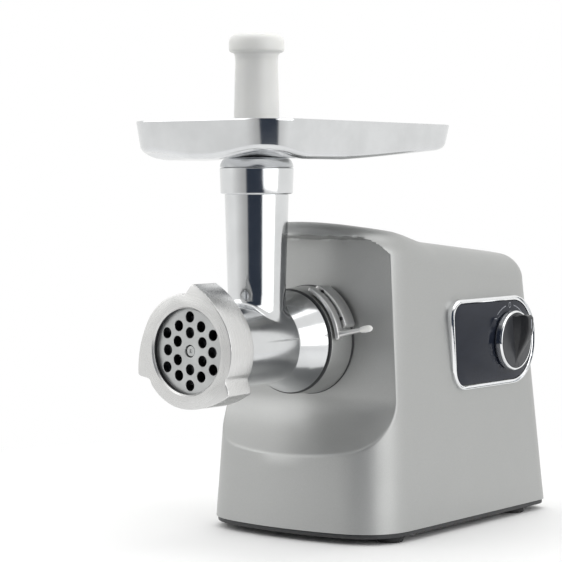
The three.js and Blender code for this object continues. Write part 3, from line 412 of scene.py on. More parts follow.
def prism(name, axis, outline, start, end, bevel=0.0):
    """An outline across an axis, pushed along it, with rounded edges if a bevel is given."""
    rows = [(start, 0)]
    if bevel:
        turns = [radians(a) for a in (0, 30, 60, 90)]
        rows = [(start + bevel * (1 - cos(a)), bevel * (1 - sin(a))) for a in turns]
    rows += [(start + end - at, inset) for at, inset in reversed(rows)]
    points, faces = [], []
    count = len(outline)
    for at, inset in rows:
        shifted = drawn_in(outline, inset) if inset else outline
        points += [axis_point(axis, (0, 0), u, v, at) for u, v in shifted]
    for row in range(len(rows) - 1):
        for i in range(count):
            j = (i + 1) % count
            low, high = row * count, (row + 1) * count
            faces.append((low + i, low + j, high + j, high + i))
    faces.append(tuple(range(count)))
    faces.append(tuple(reversed(range((len(rows) - 1) * count, len(rows) * count))))
    return raw_mesh(name, points, faces)


def drawn_in(outline, inset):
    """A closed outline moved inwards by an inset."""
    area = sum(a[0] * b[1] - b[0] * a[1] for a, b in zip(outline, outline[1:] + outline[:1]))
    side = 1 if area > 0 else -1
    out = []
    for i, point in enumerate(outline):
        before, after = outline[i - 1], outline[(i + 1) % len(outline)]
        run = Vector((after[0] - before[0], after[1] - before[1]))
        run = run.normalized() if run.length > 1e-9 else Vector((1, 0))
        out.append((point[0] - side * run.y * inset, point[1] + side * run.x * inset))
    return out


def loft(name, rings, closed=False, ends=True):
    points = [p for ring in rings for p in ring]
    count = len(rings[0])
    faces = []
    bands = len(rings) if closed else len(rings) - 1
    for band in range(bands):
        low, high = band * count, (band + 1) % len(rings) * count
        for i in range(count):
            j = (i + 1) % count
            faces.append((low + i, low + j, high + j, high + i))
    if ends and not closed:
        faces.append(tuple(range(count)))
        faces.append(tuple(reversed(range((len(rings) - 1) * count, len(rings) * count))))
    return raw_mesh(name, points, faces)


def bake(made):
    """Applies an object's modifiers to its mesh."""
    graph = bpy.context.evaluated_depsgraph_get()
    mesh = bpy.data.meshes.new_from_object(made.evaluated_get(graph))
    old = made.data
    made.modifiers.clear()
    made.data = mesh
    bpy.data.meshes.remove(old)
    return made


def combine(made, tools, operation="DIFFERENCE"):
    """Joins or cuts an object with others, which are used up."""
    for tool in tools:
        modifier = made.modifiers.new("combine", "BOOLEAN")
        modifier.object = tool
        modifier.operation = operation
        modifier.solver = "EXACT"
    bpy.context.view_layer.update()
    bake(made)
    for tool in tools:
        bpy.data.objects.remove(tool)
    return made


def finished(made, look, body, nodes=(), sharp=32):
    """Gives a piece its finish, its body and the CAD nodes it stands for."""
    made.data.materials.clear()
    made.data.materials.append(look)
    made.data.shade_smooth()
    made.data.set_sharp_from_angle(angle=radians(sharp))
    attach(made, body)
    if nodes:
        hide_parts(*nodes)
    return made


# ---------- housing ----------
SHELL_BOTTOM = span("housing_shell")[0][2]
HALF_WIDTH, SIDE_DRAFT = 77.6, 0.052
FRONT, FRONT_DRAFT, BOW, FRONT_CORNER = 93.7, 0.068, 13.2, 34
REAR, REAR_DRAFT, REAR_CORNER = 324, 0.105, 18
CREST_REAR, CREST_SLOPE, CREST_FROM = 191.5, 0.095, 300
HUMP_HEIGHT, HUMP_START, HUMP_LENGTH = 5, 190, 45
EDGE_RADIUS, CROWN = 16, 8
FACE_Y, FACE_LOW, FACE_HIGH, FACE_LEAN, FACE_BOW = 127, 56, 204.5, 0.02, 2
SWEEP, SWEEP_DEPTH, BROW, BROW_DEPTH = 40, 30, 3, 22
CORNER_FROM, CORNER_TO, CORNER_DROP = 46, 72, 30
LIP_BLEND = 1.4
WALL = 1.4
CREST_RINGS, EDGE_RINGS = 25, 22


def crest(y):
    hump = HUMP_HEIGHT * smoothstep((HUMP_START - y) / HUMP_LENGTH)
    return CREST_REAR + CREST_SLOPE * (CREST_FROM - y) + hump


def bezier(a, b, c, steps):
    """Points of a quadratic curve after its first one."""
    out = []
    for i in range(1, steps + 1):
        t = i / steps
        out.append(tuple((1 - t) ** 2 * p + 2 * t * (1 - t) * q + t * t * r for p, q, r in zip(a, b, c)))
    return out


def plan_outline(height, inset):
    """The housing seen from above at one height: right half from the front middle, then the left half."""
    rise = height - SHELL_BOTTOM
    half = HALF_WIDTH - SIDE_DRAFT * rise - inset
    front = FRONT + FRONT_DRAFT * rise + inset
    rear = REAR - REAR_DRAFT * rise - inset
    corner = max(FRONT_CORNER - inset, 12)
    rear_corner = max(REAR_CORNER - inset, 4)
    bow_end = half - corner
    bow_depth = BOW * (bow_end / half) ** 2
    slope = 2 * bow_depth / bow_end
    turn_y = front + bow_depth + slope * corner
    side_end = rear - rear_corner
    right = [(0, front)]
    right += bezier((0, front), (bow_end / 2, front), (bow_end, front + bow_depth), 40)
    right += bezier((bow_end, front + bow_depth), (half, turn_y), (half, turn_y + corner), 48)
    right += [(half, lerp(turn_y + corner, side_end, i / 16)) for i in range(1, 17)]
    right += bezier((half, side_end), (half, rear), (half - rear_corner, rear), 10)
    right += [(lerp(half - rear_corner, 0, i / 6), rear) for i in range(1, 7)]
    left = [(-x, y) for x, y in reversed(right[1:-1])]
    return right + left


def face_depth(x, z):
    """How far back the recessed front face lies: it sweeps forward below and ends under a brow above."""
    outward = min(max(abs(x) - CORNER_FROM, 0) / (CORNER_TO - CORNER_FROM), 1)
    brow_edge = FACE_HIGH - CORNER_DROP * (1 - sqrt(1 - outward ** 2))
    sweep = SWEEP_DEPTH * max(1 - (z - FACE_LOW) / SWEEP, 0) ** 2
    brow = BROW_DEPTH * max(1 - (brow_edge - z) / BROW, 0) ** 2
    back = FACE_Y + FACE_LEAN * (z - AXIS_Z) + FACE_BOW * (x / CORNER_TO) ** 2
    return back - sweep - brow


def pressed(point):
    """Moves a point of the outer skin back onto the front face where the face lies deeper."""
    x, y, z = point
    deep = face_depth(x, z)
    gap = deep - y
    if gap > LIP_BLEND:
        return (x, deep, z)
    if gap < -LIP_BLEND:
        return point
    return (x, y + (gap + LIP_BLEND) ** 2 / (4 * LIP_BLEND), z)


def wall_shares(spring):
    """Places up the wall, from 0 at its foot to 1 at its top, closer together at the recess's two lips."""
    heights = [SHELL_BOTTOM]
    for end, steps in ((FACE_LOW - 6, 5), (FACE_LOW + 36, 42), (spring - 32, 24), (spring, 36)):
        start = heights[-1]
        heights += [lerp(start, end, i / steps) for i in range(1, steps + 1)]
    return [(height - SHELL_BOTTOM) / (spring - SHELL_BOTTOM) for height in heights]


def housing_skin():
    rings = []
    spring = CREST_REAR - EDGE_RADIUS

    def top_of(x, y):
        return crest(y) - CROWN * (x / HALF_WIDTH) ** 2

    for share in wall_shares(spring):
        outline = plan_outline(lerp(SHELL_BOTTOM, spring, share), 0)
        rings.append([(x, y, lerp(SHELL_BOTTOM, top_of(x, y) - EDGE_RADIUS, share)) for x, y in outline])
    for i in range(1, EDGE_RINGS + 1):
        angle = pi / 2 * i / EDGE_RINGS
        inset = EDGE_RADIUS * (1 - cos(angle))
        drop = EDGE_RADIUS * (1 - sin(angle))
        rings.append([(x, y, top_of(x, y) - drop) for x, y in plan_outline(spring, inset)])
    middle = (FRONT + REAR) / 2
    last = rings[-1]
    for i in range(1, CREST_RINGS):
        share = 1 - i / CREST_RINGS
        ring = [(x * share, middle + (y - middle) * share) for x, y, _ in last]
        rings.append([(x, y, top_of(x, y)) for x, y in ring])
    return [[pressed(p) for p in ring] for ring in rings]


def housing():
    """The shell: its skin closed at the crest, thickened inwards, with the socket's and the cord's holes."""
    shell = loft("housing_shell_skin", housing_skin(), ends=False)
    fill = bmesh.new()
    fill.from_mesh(shell.data)
    rims = [e for e in fill.edges if e.is_boundary]
    top = [e for e in rims if all(v.co.z > 0.15 for v in e.verts)]
    bmesh.ops.contextual_create(fill, geom=top)
    bmesh.ops.recalc_face_normals(fill, faces=fill.faces)
    fill.to_mesh(shell.data)
    fill.free()
    wall = shell.modifiers.new("wall", "SOLIDIFY")
    wall.thickness = WALL * MM
    wall.offset = -1
    bake(shell)
    socket_hole = lathe("hole", "Y", HEAD_AXIS, [(0, 100), (27, 100), (27, 136), (0, 136)])
    inlet = span("cord_inlet")
    inlet_axis = ((inlet[0][0] + inlet[1][0]) / 2, (inlet[0][2] + inlet[1][2]) / 2)
    cord_hole = lathe("hole", "Y", inlet_axis, [(0, 300), (7.3, 300), (7.3, 340), (0, 340)], 32)
    combine(shell, [socket_hole, cord_hole])
    finished(shell, PAINT, "housing", ["housing_shell"], sharp=50)


def base_strip():
    low = span("base_plate")[0][2]
    outline = plan_outline(SHELL_BOTTOM, 1.1)
    plate = prism("base_strip", "Z", outline, low, SHELL_BOTTOM - 0.15, 0.6)
    finished(plate, DARK_PLASTIC_AND_PAINTED_SHADE, "housing", ["base_plate"])


# ---------- socket, lock and head ----------
def socket_collar():
    """The painted collar; dark rings paint the shade of the seam at the face and of the gap in front of it.
    """
    low, high = span("socket_collar")
    front, rear = low[1], high[1]
    collar = lathe("socket_collar_ring", "Y", HEAD_AXIS, [
        (28.5, front, 0.6), (35.5, front, 1.6), (36.9, rear - 0.2, 0.4), (36.2, rear - 0.1, 0.2),
        (36.2, rear + 2.6), (28.5, rear + 2.6)], closed=True)
    finished(collar, PAINT, "housing", ["socket_collar"])
    # A dark ring as painted shade: the shadow line of the seam where the collar meets the face.
    seam = lathe("socket_seam_painted_shade", "Y", HEAD_AXIS, [
        (35.5, rear - 1.2, 0.2), (37.3, rear - 0.7, 0.2), (37.5, rear + 2.6), (35.5, rear + 2.6)],
        closed=True)
    finished(seam, DARK_PLASTIC_AND_PAINTED_SHADE, "housing")
    # A dark ring as painted shade: the shadowed gap in front of the collar.
    gap = lathe("socket_gap_painted_shade", "Y", HEAD_AXIS, [
        (33, front - 0.7, 0.1), (35.5, front - 0.7, 0.2), (35.5, front + 0.7, 0.2), (33, front + 0.7)],
        closed=True)
    finished(gap, DARK_PLASTIC_AND_PAINTED_SHADE, "housing")


def polar(radius, angle):
    return (radius * cos(radians(angle)), AXIS_Z + radius * sin(radians(angle)))


def arc_outline(inner, outer, start, end, steps=48):
    """A band bent about the head's axis with rounded ends."""
    middle, half = (inner + outer) / 2, (outer - inner) / 2
    points = [polar(outer, lerp(start, end, i / steps)) for i in range(steps + 1)]
    centre = polar(middle, end)
    points += [(centre[0] + half * cos(radians(end + a)), centre[1] + half * sin(radians(end + a)))
               for a in range(20, 180, 20)]
    points += [polar(inner, lerp(end, start, i / steps)) for i in range(steps + 1)]
    centre = polar(middle, start)
    points += [(centre[0] + half * cos(radians(start + a)), centre[1] + half * sin(radians(start + a)))
               for a in range(200, 360, 20)]
    return points


LEVER_ANGLE = 10
LEVER_SIDE = (-sin(radians(LEVER_ANGLE)), cos(radians(LEVER_ANGLE)))
GUIDE_MIDDLE, GUIDE_SCREWS = 40.1, (24, 58)


def lever_ring(centre, middle_y, half, depth, facets):
    """An oval ring across the lever's arm: half its height, and half its depth along Y."""
    x, z = centre
    ring = []
    for i in range(facets):
        a = 2 * pi * i / facets
        rise = half * cos(a)
        ring.append((x + LEVER_SIDE[0] * rise, middle_y + depth * sin(a), z + LEVER_SIDE[1] * rise))
    return ring


def lock_lever():
    """The lever: its band about the socket, its arm, and the white tip on the arm."""
    low, high = span("lock_lever")
    band = prism("lock_lever_band", "Y", arc_outline(37.3, 40.4, 6, 65), low[1], high[1], 0.9)
    finished(band, SATIN, "lever", ["lock_lever"])
    middle_y = (low[1] + high[1]) / 2
    base, end = polar(39, LEVER_ANGLE - 1), polar(57.4, LEVER_ANGLE)
    rings = []
    for share, half in ((0, 2.6), (0.35, 1.9), (1, 1.5)):
        centre = (lerp(base[0], end[0], share), lerp(base[1], end[1], share))
        rings.append(lever_ring(centre, middle_y, half, 2.0 * half / 1.9, 24))
    finished(loft("lock_lever_arm", rings), SATIN, "lever")
    start, length = 57.0, 9.4
    shape = ((0, 1.4), (0.04, 1.9), (0.4, 2.3), (0.75, 2.2), (0.9, 1.7), (0.98, 0.8), (1, 0.2))
    rings = [lever_ring(polar(start + length * share, LEVER_ANGLE), middle_y, half, half * 0.95, 28)
             for share, half in shape]
    finished(loft("lock_lever_tip", rings), MILKY, "lever", ["lever_tip"])


def lock_guide():
    """The guide that the lever's band runs in, with a slot and two sunk screws."""
    low, high = span("lock_guide")
    front = low[1]
    block = prism("lock_guide_block", "Y", arc_outline(37.4, 42, 18, 64), front, high[1], 0.7)
    slot = prism("slot", "Y", arc_outline(39.8, 40.5, 29, 53), front - 1, front + 1.2)
    hole = [(0, front - 1), (1.5, front - 1), (1.5, front + 3), (0, front + 3)]
    holes = [lathe("hole", "Y", polar(GUIDE_MIDDLE, angle), hole, 24) for angle in GUIDE_SCREWS]
    combine(block, [slot, *holes])
    finished(block, SATIN, "housing", ["lock_guide"])
    for i, angle in enumerate(GUIDE_SCREWS):
        screw = lathe(f"guide_screw_head_{i + 1}", "Y", polar(GUIDE_MIDDLE, angle), [
            (0, front + 0.4), (0.6, front + 0.4), (0.6, front - 0.2), (1.3, front - 0.2, 0.3),
            (1.3, front + 2.5), (0, front + 2.5)], 24)
        finished(screw, DARK_STEEL, "housing", [f"guide_screw_{i + 1}"])


TUBE_Y = 69
BARREL_RADIUS = 26.7


def feed_tube(top):
    """The feed tube, which flows out of the barrel with a fillet round its root."""
    root, flow, sunk = 19.2, 5, 0.3
    rings = []

    def ring(radius, height, facets=160):
        turns = [2 * pi * i / facets for i in range(facets)]
        return [(radius * cos(a), TUBE_Y + radius * sin(a), height(radius * cos(a))) for a in turns]

    rings.append(ring(root + flow, lambda x: AXIS_Z))
    for step in range(8):
        angle = pi / 2 * step / 7
        lift = flow * (1 - cos(angle)) - sunk
        rings.append(ring(root + flow * (1 - sin(angle)),
                          lambda x: AXIS_Z + sqrt(BARREL_RADIUS ** 2 - x * x) + lift))
    upper = fillet([
        (root, AXIS_Z + 34), (21.2, 232, 0.4), (21.2, 232.4, 0.1), (23.9, 233, 0.7), (24.5, top, 0.8),
        (21.6, top, 0.4), (21.6, top - 7), (19, top - 7)])
    rings += [ring(radius, lambda x: along) for radius, along in upper]
    return loft("tube", rings)


def grinder_head():
    """The cast head: barrel and feed tube in one, bored out for the worm and the food."""
    top = span("grinder_head")[1][2]
    barrel = lathe("grinder_head_casting", "Y", HEAD_AXIS, [
        (0, 1), (34, 1, 0.6), (34, 20, 0.8), (BARREL_RADIUS, 21.5, 1.5), (BARREL_RADIUS, 81.5, 4),
        (30.7, 92.3, 0.1), (30.9, 92.8, 0.1), (34.5, 102.2, 0.6), (34.4, 103.5, 0.5), (28, 103.5, 0.4),
        (28, 122, 0.8), (0, 122)], 160)
    tube = feed_tube(top)
    throat = lathe("throat", "Z", (0, TUBE_Y), [
        (0, AXIS_Z), (17.2, AXIS_Z), (19, top - 8, 0.5), (19, top + 1), (0, top + 1)], 96)
    chamber = lathe("chamber", "Y", HEAD_AXIS, [
        (0, 0), (31.3, 0), (31.3, 5.3, 0.3), (23.6, 5.3, 0.3), (23.6, 96), (15.3, 96), (15.3, 104.3),
        (14.5, 104.3), (14.5, 126), (0, 126)], 96)
    combine(barrel, [tube], "UNION")
    combine(barrel, [throat, chamber])
    finished(barrel, CASTING, "head", ["grinder_head"], sharp=28)
    # Painted shade: the chamber's inner faces get a near-black finish.
    chamber_end = place((0, 100, 0)).y
    repaint(barrel, PAINTED_SHADE_BORE, lambda centre, normal: radius_of(centre) < 24 and centre.y < chamber_end)


# Rings of six holes in the cutting plate: their radius and where the first hole lies.
PLATE_HOLES = ((11.8, 90), (18.4, 60), (21.9, 90))
HOLE_RADIUS = 3.5


def cutting_plate():
    low, high = span("cutting_plate")
    plate = lathe("cutting_plate_disc", "Y", HEAD_AXIS, [
        (4.1, low[1], 0.3), (30.9, low[1], 0.5), (30.9, high[1], 0.5), (4.1, high[1], 0.3)], 128, closed=True)
    tools = []
    for radius, start in PLATE_HOLES:
        for i in range(6):
            tools.append(lathe("hole", "Y", polar(radius, start + i * 60), [
                (0, low[1] - 1), (HOLE_RADIUS + 0.8, low[1] - 1), (HOLE_RADIUS, low[1] + 0.25),
                (HOLE_RADIUS, high[1] + 1), (0, high[1] + 1)], 40))
    combine(plate, [join_all(tools)])
    finished(plate, PLATE_STEEL, "plate", ["cutting_plate"])
    # Painted shade: the walls of the plate's holes get a near-black finish.
    repaint(plate, PAINTED_SHADE_BORE, lambda centre, normal: abs(normal.y) < 0.4 and 5 < radius_of(centre) < 28)


def join_all(pieces):
    """Several objects that don't touch, as one object."""
    joined = bmesh.new()
    for made in pieces:
        joined.from_mesh(made.data)
    pieces[0].data.clear_geometry()
    joined.to_mesh(pieces[0].data)
    joined.free()
    for made in pieces[1:]:
        bpy.data.objects.remove(made)
    return pieces[0]


NUT_RADIUS, LOBE_RADIUS = 37, 43.8
LOBE_RISE, LOBE_END = 7.5, 58
NUT_POINTS = 720


def nut_radius(angle):
    """The ring nut's outline: each lobe rises steeply from a small groove and falls away in a long curve."""
    behind = (90.5 - angle) % 120
    if behind < LOBE_RISE:
        return lerp(NUT_RADIUS - 0.3, LOBE_RADIUS, behind / LOBE_RISE)
    if behind < LOBE_END:
        return lerp(NUT_RADIUS, LOBE_RADIUS, (1 - (behind - LOBE_RISE) / (LOBE_END - LOBE_RISE)) ** 2)
    groove = 0.9 * max(0, 1 - abs(117 - behind) / 3.5)
    return NUT_RADIUS - groove


def softened(radius, angle, spread=1.6):
    """A radius averaged over the angles round it, which rounds an outline's corners."""
    return sum(radius(angle + spread * step / 4) for step in range(-4, 5)) / 9


def ring_nut():
    low, high = span("ring_nut")
    outline = [polar(softened(nut_radius, 360 * i / NUT_POINTS), 360 * i / NUT_POINTS)
               for i in range(NUT_POINTS)]
    nut = prism("ring_nut_body", "Y", outline, low[1], high[1], 0.7)
    bore = lathe("bore", "Y", HEAD_AXIS, [
        (0, low[1] - 1), (28.6, low[1] - 1), (28.6, low[1]), (27.4, low[1] + 1.2, 0.6), (27.4, -0.4),
        (34.4, -0.4), (34.4, high[1] - 1.2), (35.4, high[1] + 0.1), (35.4, high[1] + 1),
        (0, high[1] + 1)], 144)
    combine(nut, [bore])
    finished(nut, NUT_SATIN, "nut", ["ring_nut"], sharp=30)
    # Painted shade: the nut's inner bore wall gets a near-black finish.
    repaint(nut, PAINTED_SHADE_BORE, lambda centre, normal: abs(normal.y) < 0.5 and radius_of(centre) < 30)


def radius_of(point):
    """Distance of a point of the frame from the head's axis, in millimetres."""
    return hypot(point.x - HEAD_X, point.z - AXIS_Z * MM) / MM


def repaint(made, look, chosen):
    """Gives a second finish to the faces that a test picks by their middle and normal; here it paints shade
    into bores and holes.
    """
    made.data.materials.append(look)
    for face in made.data.polygons:
        if chosen(face.center, face.normal):
            face.material_index = 1


def worm_pin():
    pin = lathe("worm_pin_end", "Y", HEAD_AXIS, [
        (0, 1.7), (0.9, 1.7), (1.3, 0.9), (1.5, 0.9), (3.1, 0.9, 0.3), (3.8, 1.8, 0.3), (3.8, 24),
        (0, 24)], 64)
    finished(pin, PLATE_STEEL, "worm_set", ["worm_pin"])


# ---------- tray and pusher ----------
TRAY_RIM = span("hopper_tray")[1][2]
TRAY_HALF, TRAY_FRONT, TRAY_REAR, TRAY_CORNER = 64.8, 7, 220, 25
TRAY_WALL, TRAY_LEAN, TRAY_FILLET = 1.8, 2.6, 5.5
TRAY_FLAT, TRAY_REAR_RISE, TRAY_CORNER_LIFT = 255.0, 9.3, 5
TRAY_FLOOR, BOWL_EDGE, BOWL_LIP = 261.4, 20.0, 2.6
DOME_RISE, DOME_AXIS, DOME_RADIUS = 9.0, 18.2, 6.39


def tray_bottom(x, y):
    """Height of the tray's underside: flat round the tube, rising to the rear and to the front corners."""
    rise = TRAY_REAR_RISE * (max(y - 85, 0) / 135) ** 1.15
    corner = smoothstep((abs(x) - 5) / 42) * smoothstep((47 - y) / 40)
    return TRAY_FLAT + rise + TRAY_CORNER_LIFT * corner


def tray_outline(inset, corner):
    """A rounded rectangle whose straight sides are cut into short steps."""
    half = TRAY_HALF - inset - corner
    front, rear = TRAY_FRONT + inset + corner, TRAY_REAR - inset - corner
    arcs = ((half, rear, 0, 40), (-half, rear, 90, 72), (-half, front, 180, 40), (half, front, 270, 72))
    points = []
    for i, (x, y, start, steps) in enumerate(arcs):
        for step in range(13):
            a = radians(start + 90 * step / 12)
            points.append((x + corner * cos(a), y + corner * sin(a)))
        next_x, next_y, next_start, _ = arcs[(i + 1) % 4]
        a = radians(next_start)
        target = (next_x + corner * cos(a), next_y + corner * sin(a))
        here = points[-1]
        for step in range(1, steps):
            share = step / steps
            points.append((lerp(here[0], target[0], share), lerp(here[1], target[1], share)))
    return points


def tray_ring(inset, rise=0.0, level=None):
    """A ring of the tray, at a rise above its underside or at one level."""
    outer = tray_outline(0, TRAY_CORNER)
    ring = tray_outline(inset, TRAY_CORNER - inset)
    return [(x, y, (tray_bottom(*rim) + rise) if level is None else level)
            for (x, y), rim in zip(ring, outer)]


def round_ring(height, radius):
    """A ring about the feed tube's axis with a point for each of the tray outline's."""
    ring = []
    for x, y in tray_outline(0, TRAY_CORNER):
        a = atan2(y - TUBE_Y, x)
        ring.append((radius * cos(a), TUBE_Y + radius * sin(a), height))
    return ring


def between(ring_a, ring_b, share):
    return [tuple(lerp(p, q, share) for p, q in zip(a, b)) for a, b in zip(ring_a, ring_b)]


def tray_wall(inset, rise, steps=10):
    """Rings from the flat of the tray out round the fillet and up the leaning wall, below the rim."""
    rings = []
    for i in range(steps + 1):
        a = radians(78 * i / steps)
        rings.append(tray_ring(inset + TRAY_LEAN + TRAY_FILLET * (1 - sin(a)),
                               rise + TRAY_FILLET * (1 - cos(a))))
    return rings


def hopper_tray():
    """The tray in section: its stub in the tube, the dome above the collar, underside, rim, bowl and hole."""
    top = span("grinder_head")[1][2]
    stub = ((244, 17.4), (244, 20.4), (244.4, 20.8), (top + 0.1, 20.8), (top + 0.3, 24.1), (top + 0.6, 24.4))
    rings = [round_ring(height, radius) for height, radius in stub]
    foot = radians(14)
    for i in range(1, 11):
        a = radians(14 + 70 * i / 10)
        height = top + 0.6 + DOME_RISE * (sin(a) - sin(foot))
        rings.append(round_ring(height, DOME_AXIS + DOME_RADIUS * cos(a)))
    dome_top = rings.pop()
    underside = tray_ring(TRAY_LEAN + TRAY_FILLET + 3)
    rings += [between(dome_top, underside, i / 14) for i in range(0, 14)]
    rings += tray_wall(0, 0)
    rim = ((0.25, 1.6), (0.05, 0.5), (0.25, 0.1), (0.7, 0), (1.2, 0.1), (1.5, 0.5), (1.9, 1.6))
    rings += [tray_ring(inset, level=TRAY_RIM - drop) for inset, drop in rim]
    rings += tray_wall(TRAY_WALL, TRAY_WALL)[::-1]
    bowl_inner = round_ring(TRAY_FLOOR, BOWL_EDGE)
    rings += [between(rings[-1], bowl_inner, i / 12) for i in range(1, 12)]
    for i in range(0, 5):
        a = radians(90 * i / 4)
        rings.append(round_ring(TRAY_FLOOR - BOWL_LIP * (1 - cos(a)), BOWL_EDGE - BOWL_LIP * sin(a)))
    tray = loft("hopper_tray_casting", rings, closed=True)
    finished(tray, TRAY_METAL, "tray", ["hopper_tray"], sharp=38)


def food_pusher():
    low, high = span("food_pusher")
    top, bottom = high[2], low[2]
    pusher = lathe("food_pusher_body", "Z", (0, TUBE_Y), [
        (13.6, bottom, 0.6), (15.4, bottom, 0.8), (16.4, bottom + 2, 1), (16.4, 261.4, 0.4),
        (22.4, 262.2, 0.5), (22.4, 265.2, 0.8), (15.5, 265.9, 1.5), (14.05, 320.5, 12), (14.6, 325.3, 3),
        (18.3, 325.9, 3.4), (18.3, top, 5.5), (0, top), (0, top - 2.2), (15.6, top - 2.2, 4),
        (11.8, 320, 4), (14, 260, 2), (14, bottom + 2)], closed=True)
    finished(pusher, MILKY, "pusher", ["food_pusher"], sharp=40)


# ---------- control panel and knob ----------
PANEL_LEAN = tan(radians(5))
PANEL_FRONT, PANEL_REAR, PANEL_LOW, PANEL_HIGH = 193.5, 303.5, 95.5, 159.5
PANEL_CORNER_FRONT, PANEL_CORNER_REAR = 14, 30


def panel_outline(inset):
    """The panel's outline in the Y-Z plane, leaning forward at its front edge and nearly round behind."""
    front, rear = PANEL_FRONT + inset, PANEL_REAR - inset
    bottom, top = PANEL_LOW + inset, PANEL_HIGH - inset
    front_corner, rear_corner = PANEL_CORNER_FRONT - inset, PANEL_CORNER_REAR - inset
    outline = fillet([(front, bottom, front_corner), (rear, bottom, rear_corner), (rear, top, rear_corner),
                      (front, top, front_corner)], closed=True, steps=16)
    dense = []
    for a, b in zip(outline, outline[1:] + outline[:1]):
        steps = max(1, int(hypot(b[0] - a[0], b[1] - a[1]) / 4))
        dense += [(lerp(a[0], b[0], i / steps), lerp(a[1], b[1], i / steps)) for i in range(steps)]
    middle = (bottom + top) / 2
    straight_from = KNOB_AXIS[0]

    def leaned(y, z):
        share = min(max((straight_from - y) / (straight_from - front), 0), 1)
        return (y - share * PANEL_LEAN * (z - middle), z)

    return [leaned(y, z) for y, z in dense]


def panel_ring(inset, x):
    return [(x, y, z) for y, z in panel_outline(inset)]


def panel():
    back = span("panel_bezel")[0][0]
    face = span("control_panel")[1][0]
    # The bezel's section: how far in from its outer edge, and how far out along X.
    section = ((0.4, back), (0.4, 72.6), (0.0, 73.4), (0.3, 74.6), (0.9, 75.2), (1.3, 75.1), (1.5, 74.2),
               (1.7, 73.4), (2.0, 73.4), (2.2, 74.4), (2.8, 74.6), (3.2, 74.3), (3.3, 73.2), (3.3, back))
    bezel = loft("panel_bezel_frame", [panel_ring(inset, x) for inset, x in section], closed=True)
    finished(bezel, CHROME, "housing", ["panel_bezel"], sharp=40)
    section = ((3.5, back), (3.5, face - 0.6), (3.8, face - 0.15), (4.3, face))
    plate = loft("control_panel_plate", [panel_ring(inset, x) for inset, x in section])
    finished(plate, PANEL_GLOSS, "housing", ["control_panel"])


KNOB_TIP = span("selector_knob")[1][0]
RING_LOW, RING_HIGH = span("knob_ring")
KNOB_AXIS = ((RING_LOW[1] + RING_HIGH[1]) / 2, (RING_LOW[2] + RING_HIGH[2]) / 2)


FIN_REACH, FIN_ROWS, FIN_BASE = 18.4, 40, 80.4


def fin_ring(share):
    """The knob's fin cut across at a share of its length: it rises from its low end like a blade."""
    y, z = KNOB_AXIS
    height = lerp(-FIN_REACH, FIN_REACH, share)
    chord = sqrt(max(FIN_REACH ** 2 - height ** 2, 0.5))
    swell = smoothstep((share - 0.02) / 0.75)
    out = lerp(FIN_BASE - 0.2, KNOB_TIP, swell ** 0.85)
    if share > 0.93:
        out -= 2.0 * ((share - 0.93) / 0.07) ** 2
    half_top = lerp(1.6, 3.6, smoothstep(share * 1.05))
    half_base = min(lerp(2.8, 6.2, smoothstep(share * 1.1)), chord + 0.6)
    waist = lerp(FIN_BASE, out, 0.45)
    right = [(half_top, out, 1.3), (half_top + 0.5, waist, 4), (half_base, FIN_BASE, 1.2), (half_base, 78.5)]
    left = [(-across, x, *radius) for across, x, *radius in reversed(right)]
    return [(x, y + across, z + height) for across, x in fillet(left + right)]


def knob():
    y, z = KNOB_AXIS
    back, front = RING_LOW[0], RING_HIGH[0]
    rim = lathe("knob_ring_trim", "X", KNOB_AXIS, [
        (19, back), (20.8, back, 0.3), (21.5, back + 1.4, 0.8), (21.3, front - 0.2, 0.6),
        (20.7, front + 0.9, 0.5), (19.9, front + 1.0, 0.3), (19.6, front, 0.3), (19, front - 0.2)],
        closed=True)
    finished(rim, CHROME, "knob", ["knob_ring"])
    body = lathe("knob_disc", "X", KNOB_AXIS, [
        (3.2, back), (18.9, back), (19.6, back + 1, 0.4), (19.6, front - 0.1, 0.5), (18.9, front + 0.9, 0.6),
        (9, front + 1.4, 2), (0, front + 1.4)])
    fin = loft("knob_fin", [fin_ring(i / FIN_ROWS) for i in range(FIN_ROWS + 1)])
    finished(body, KNOB_PLASTIC, "knob", ["selector_knob"])
    finished(fin, FIN_PLASTIC, "knob", sharp=45)
    outline = [(y - 0.5, z + 9), (y + 0.5, z + 9), (y + 0.5, z + 15.5), (y - 0.5, z + 15.5)]
    mark = prism("knob_mark", "X", outline, KNOB_TIP - 0.05, KNOB_TIP + 0.12)
    finished(mark, PRINT_PALE, "knob")


def print_strip(name, x, points, width, look, body="housing"):
    """A printed line of even width along points in a Y-Z plane."""
    left, right = [], []
    for i, (y, z) in enumerate(points):
        before, after = points[max(i - 1, 0)], points[min(i + 1, len(points) - 1)]
        run = Vector((after[0] - before[0], after[1] - before[1])).normalized() * (width / 2)
        left.append((y - run.y, z + run.x))
        right.append((y + run.y, z - run.x))
    made = prism(name, "X", left + right[::-1], x, x + 0.12)
    return finished(made, look, body)


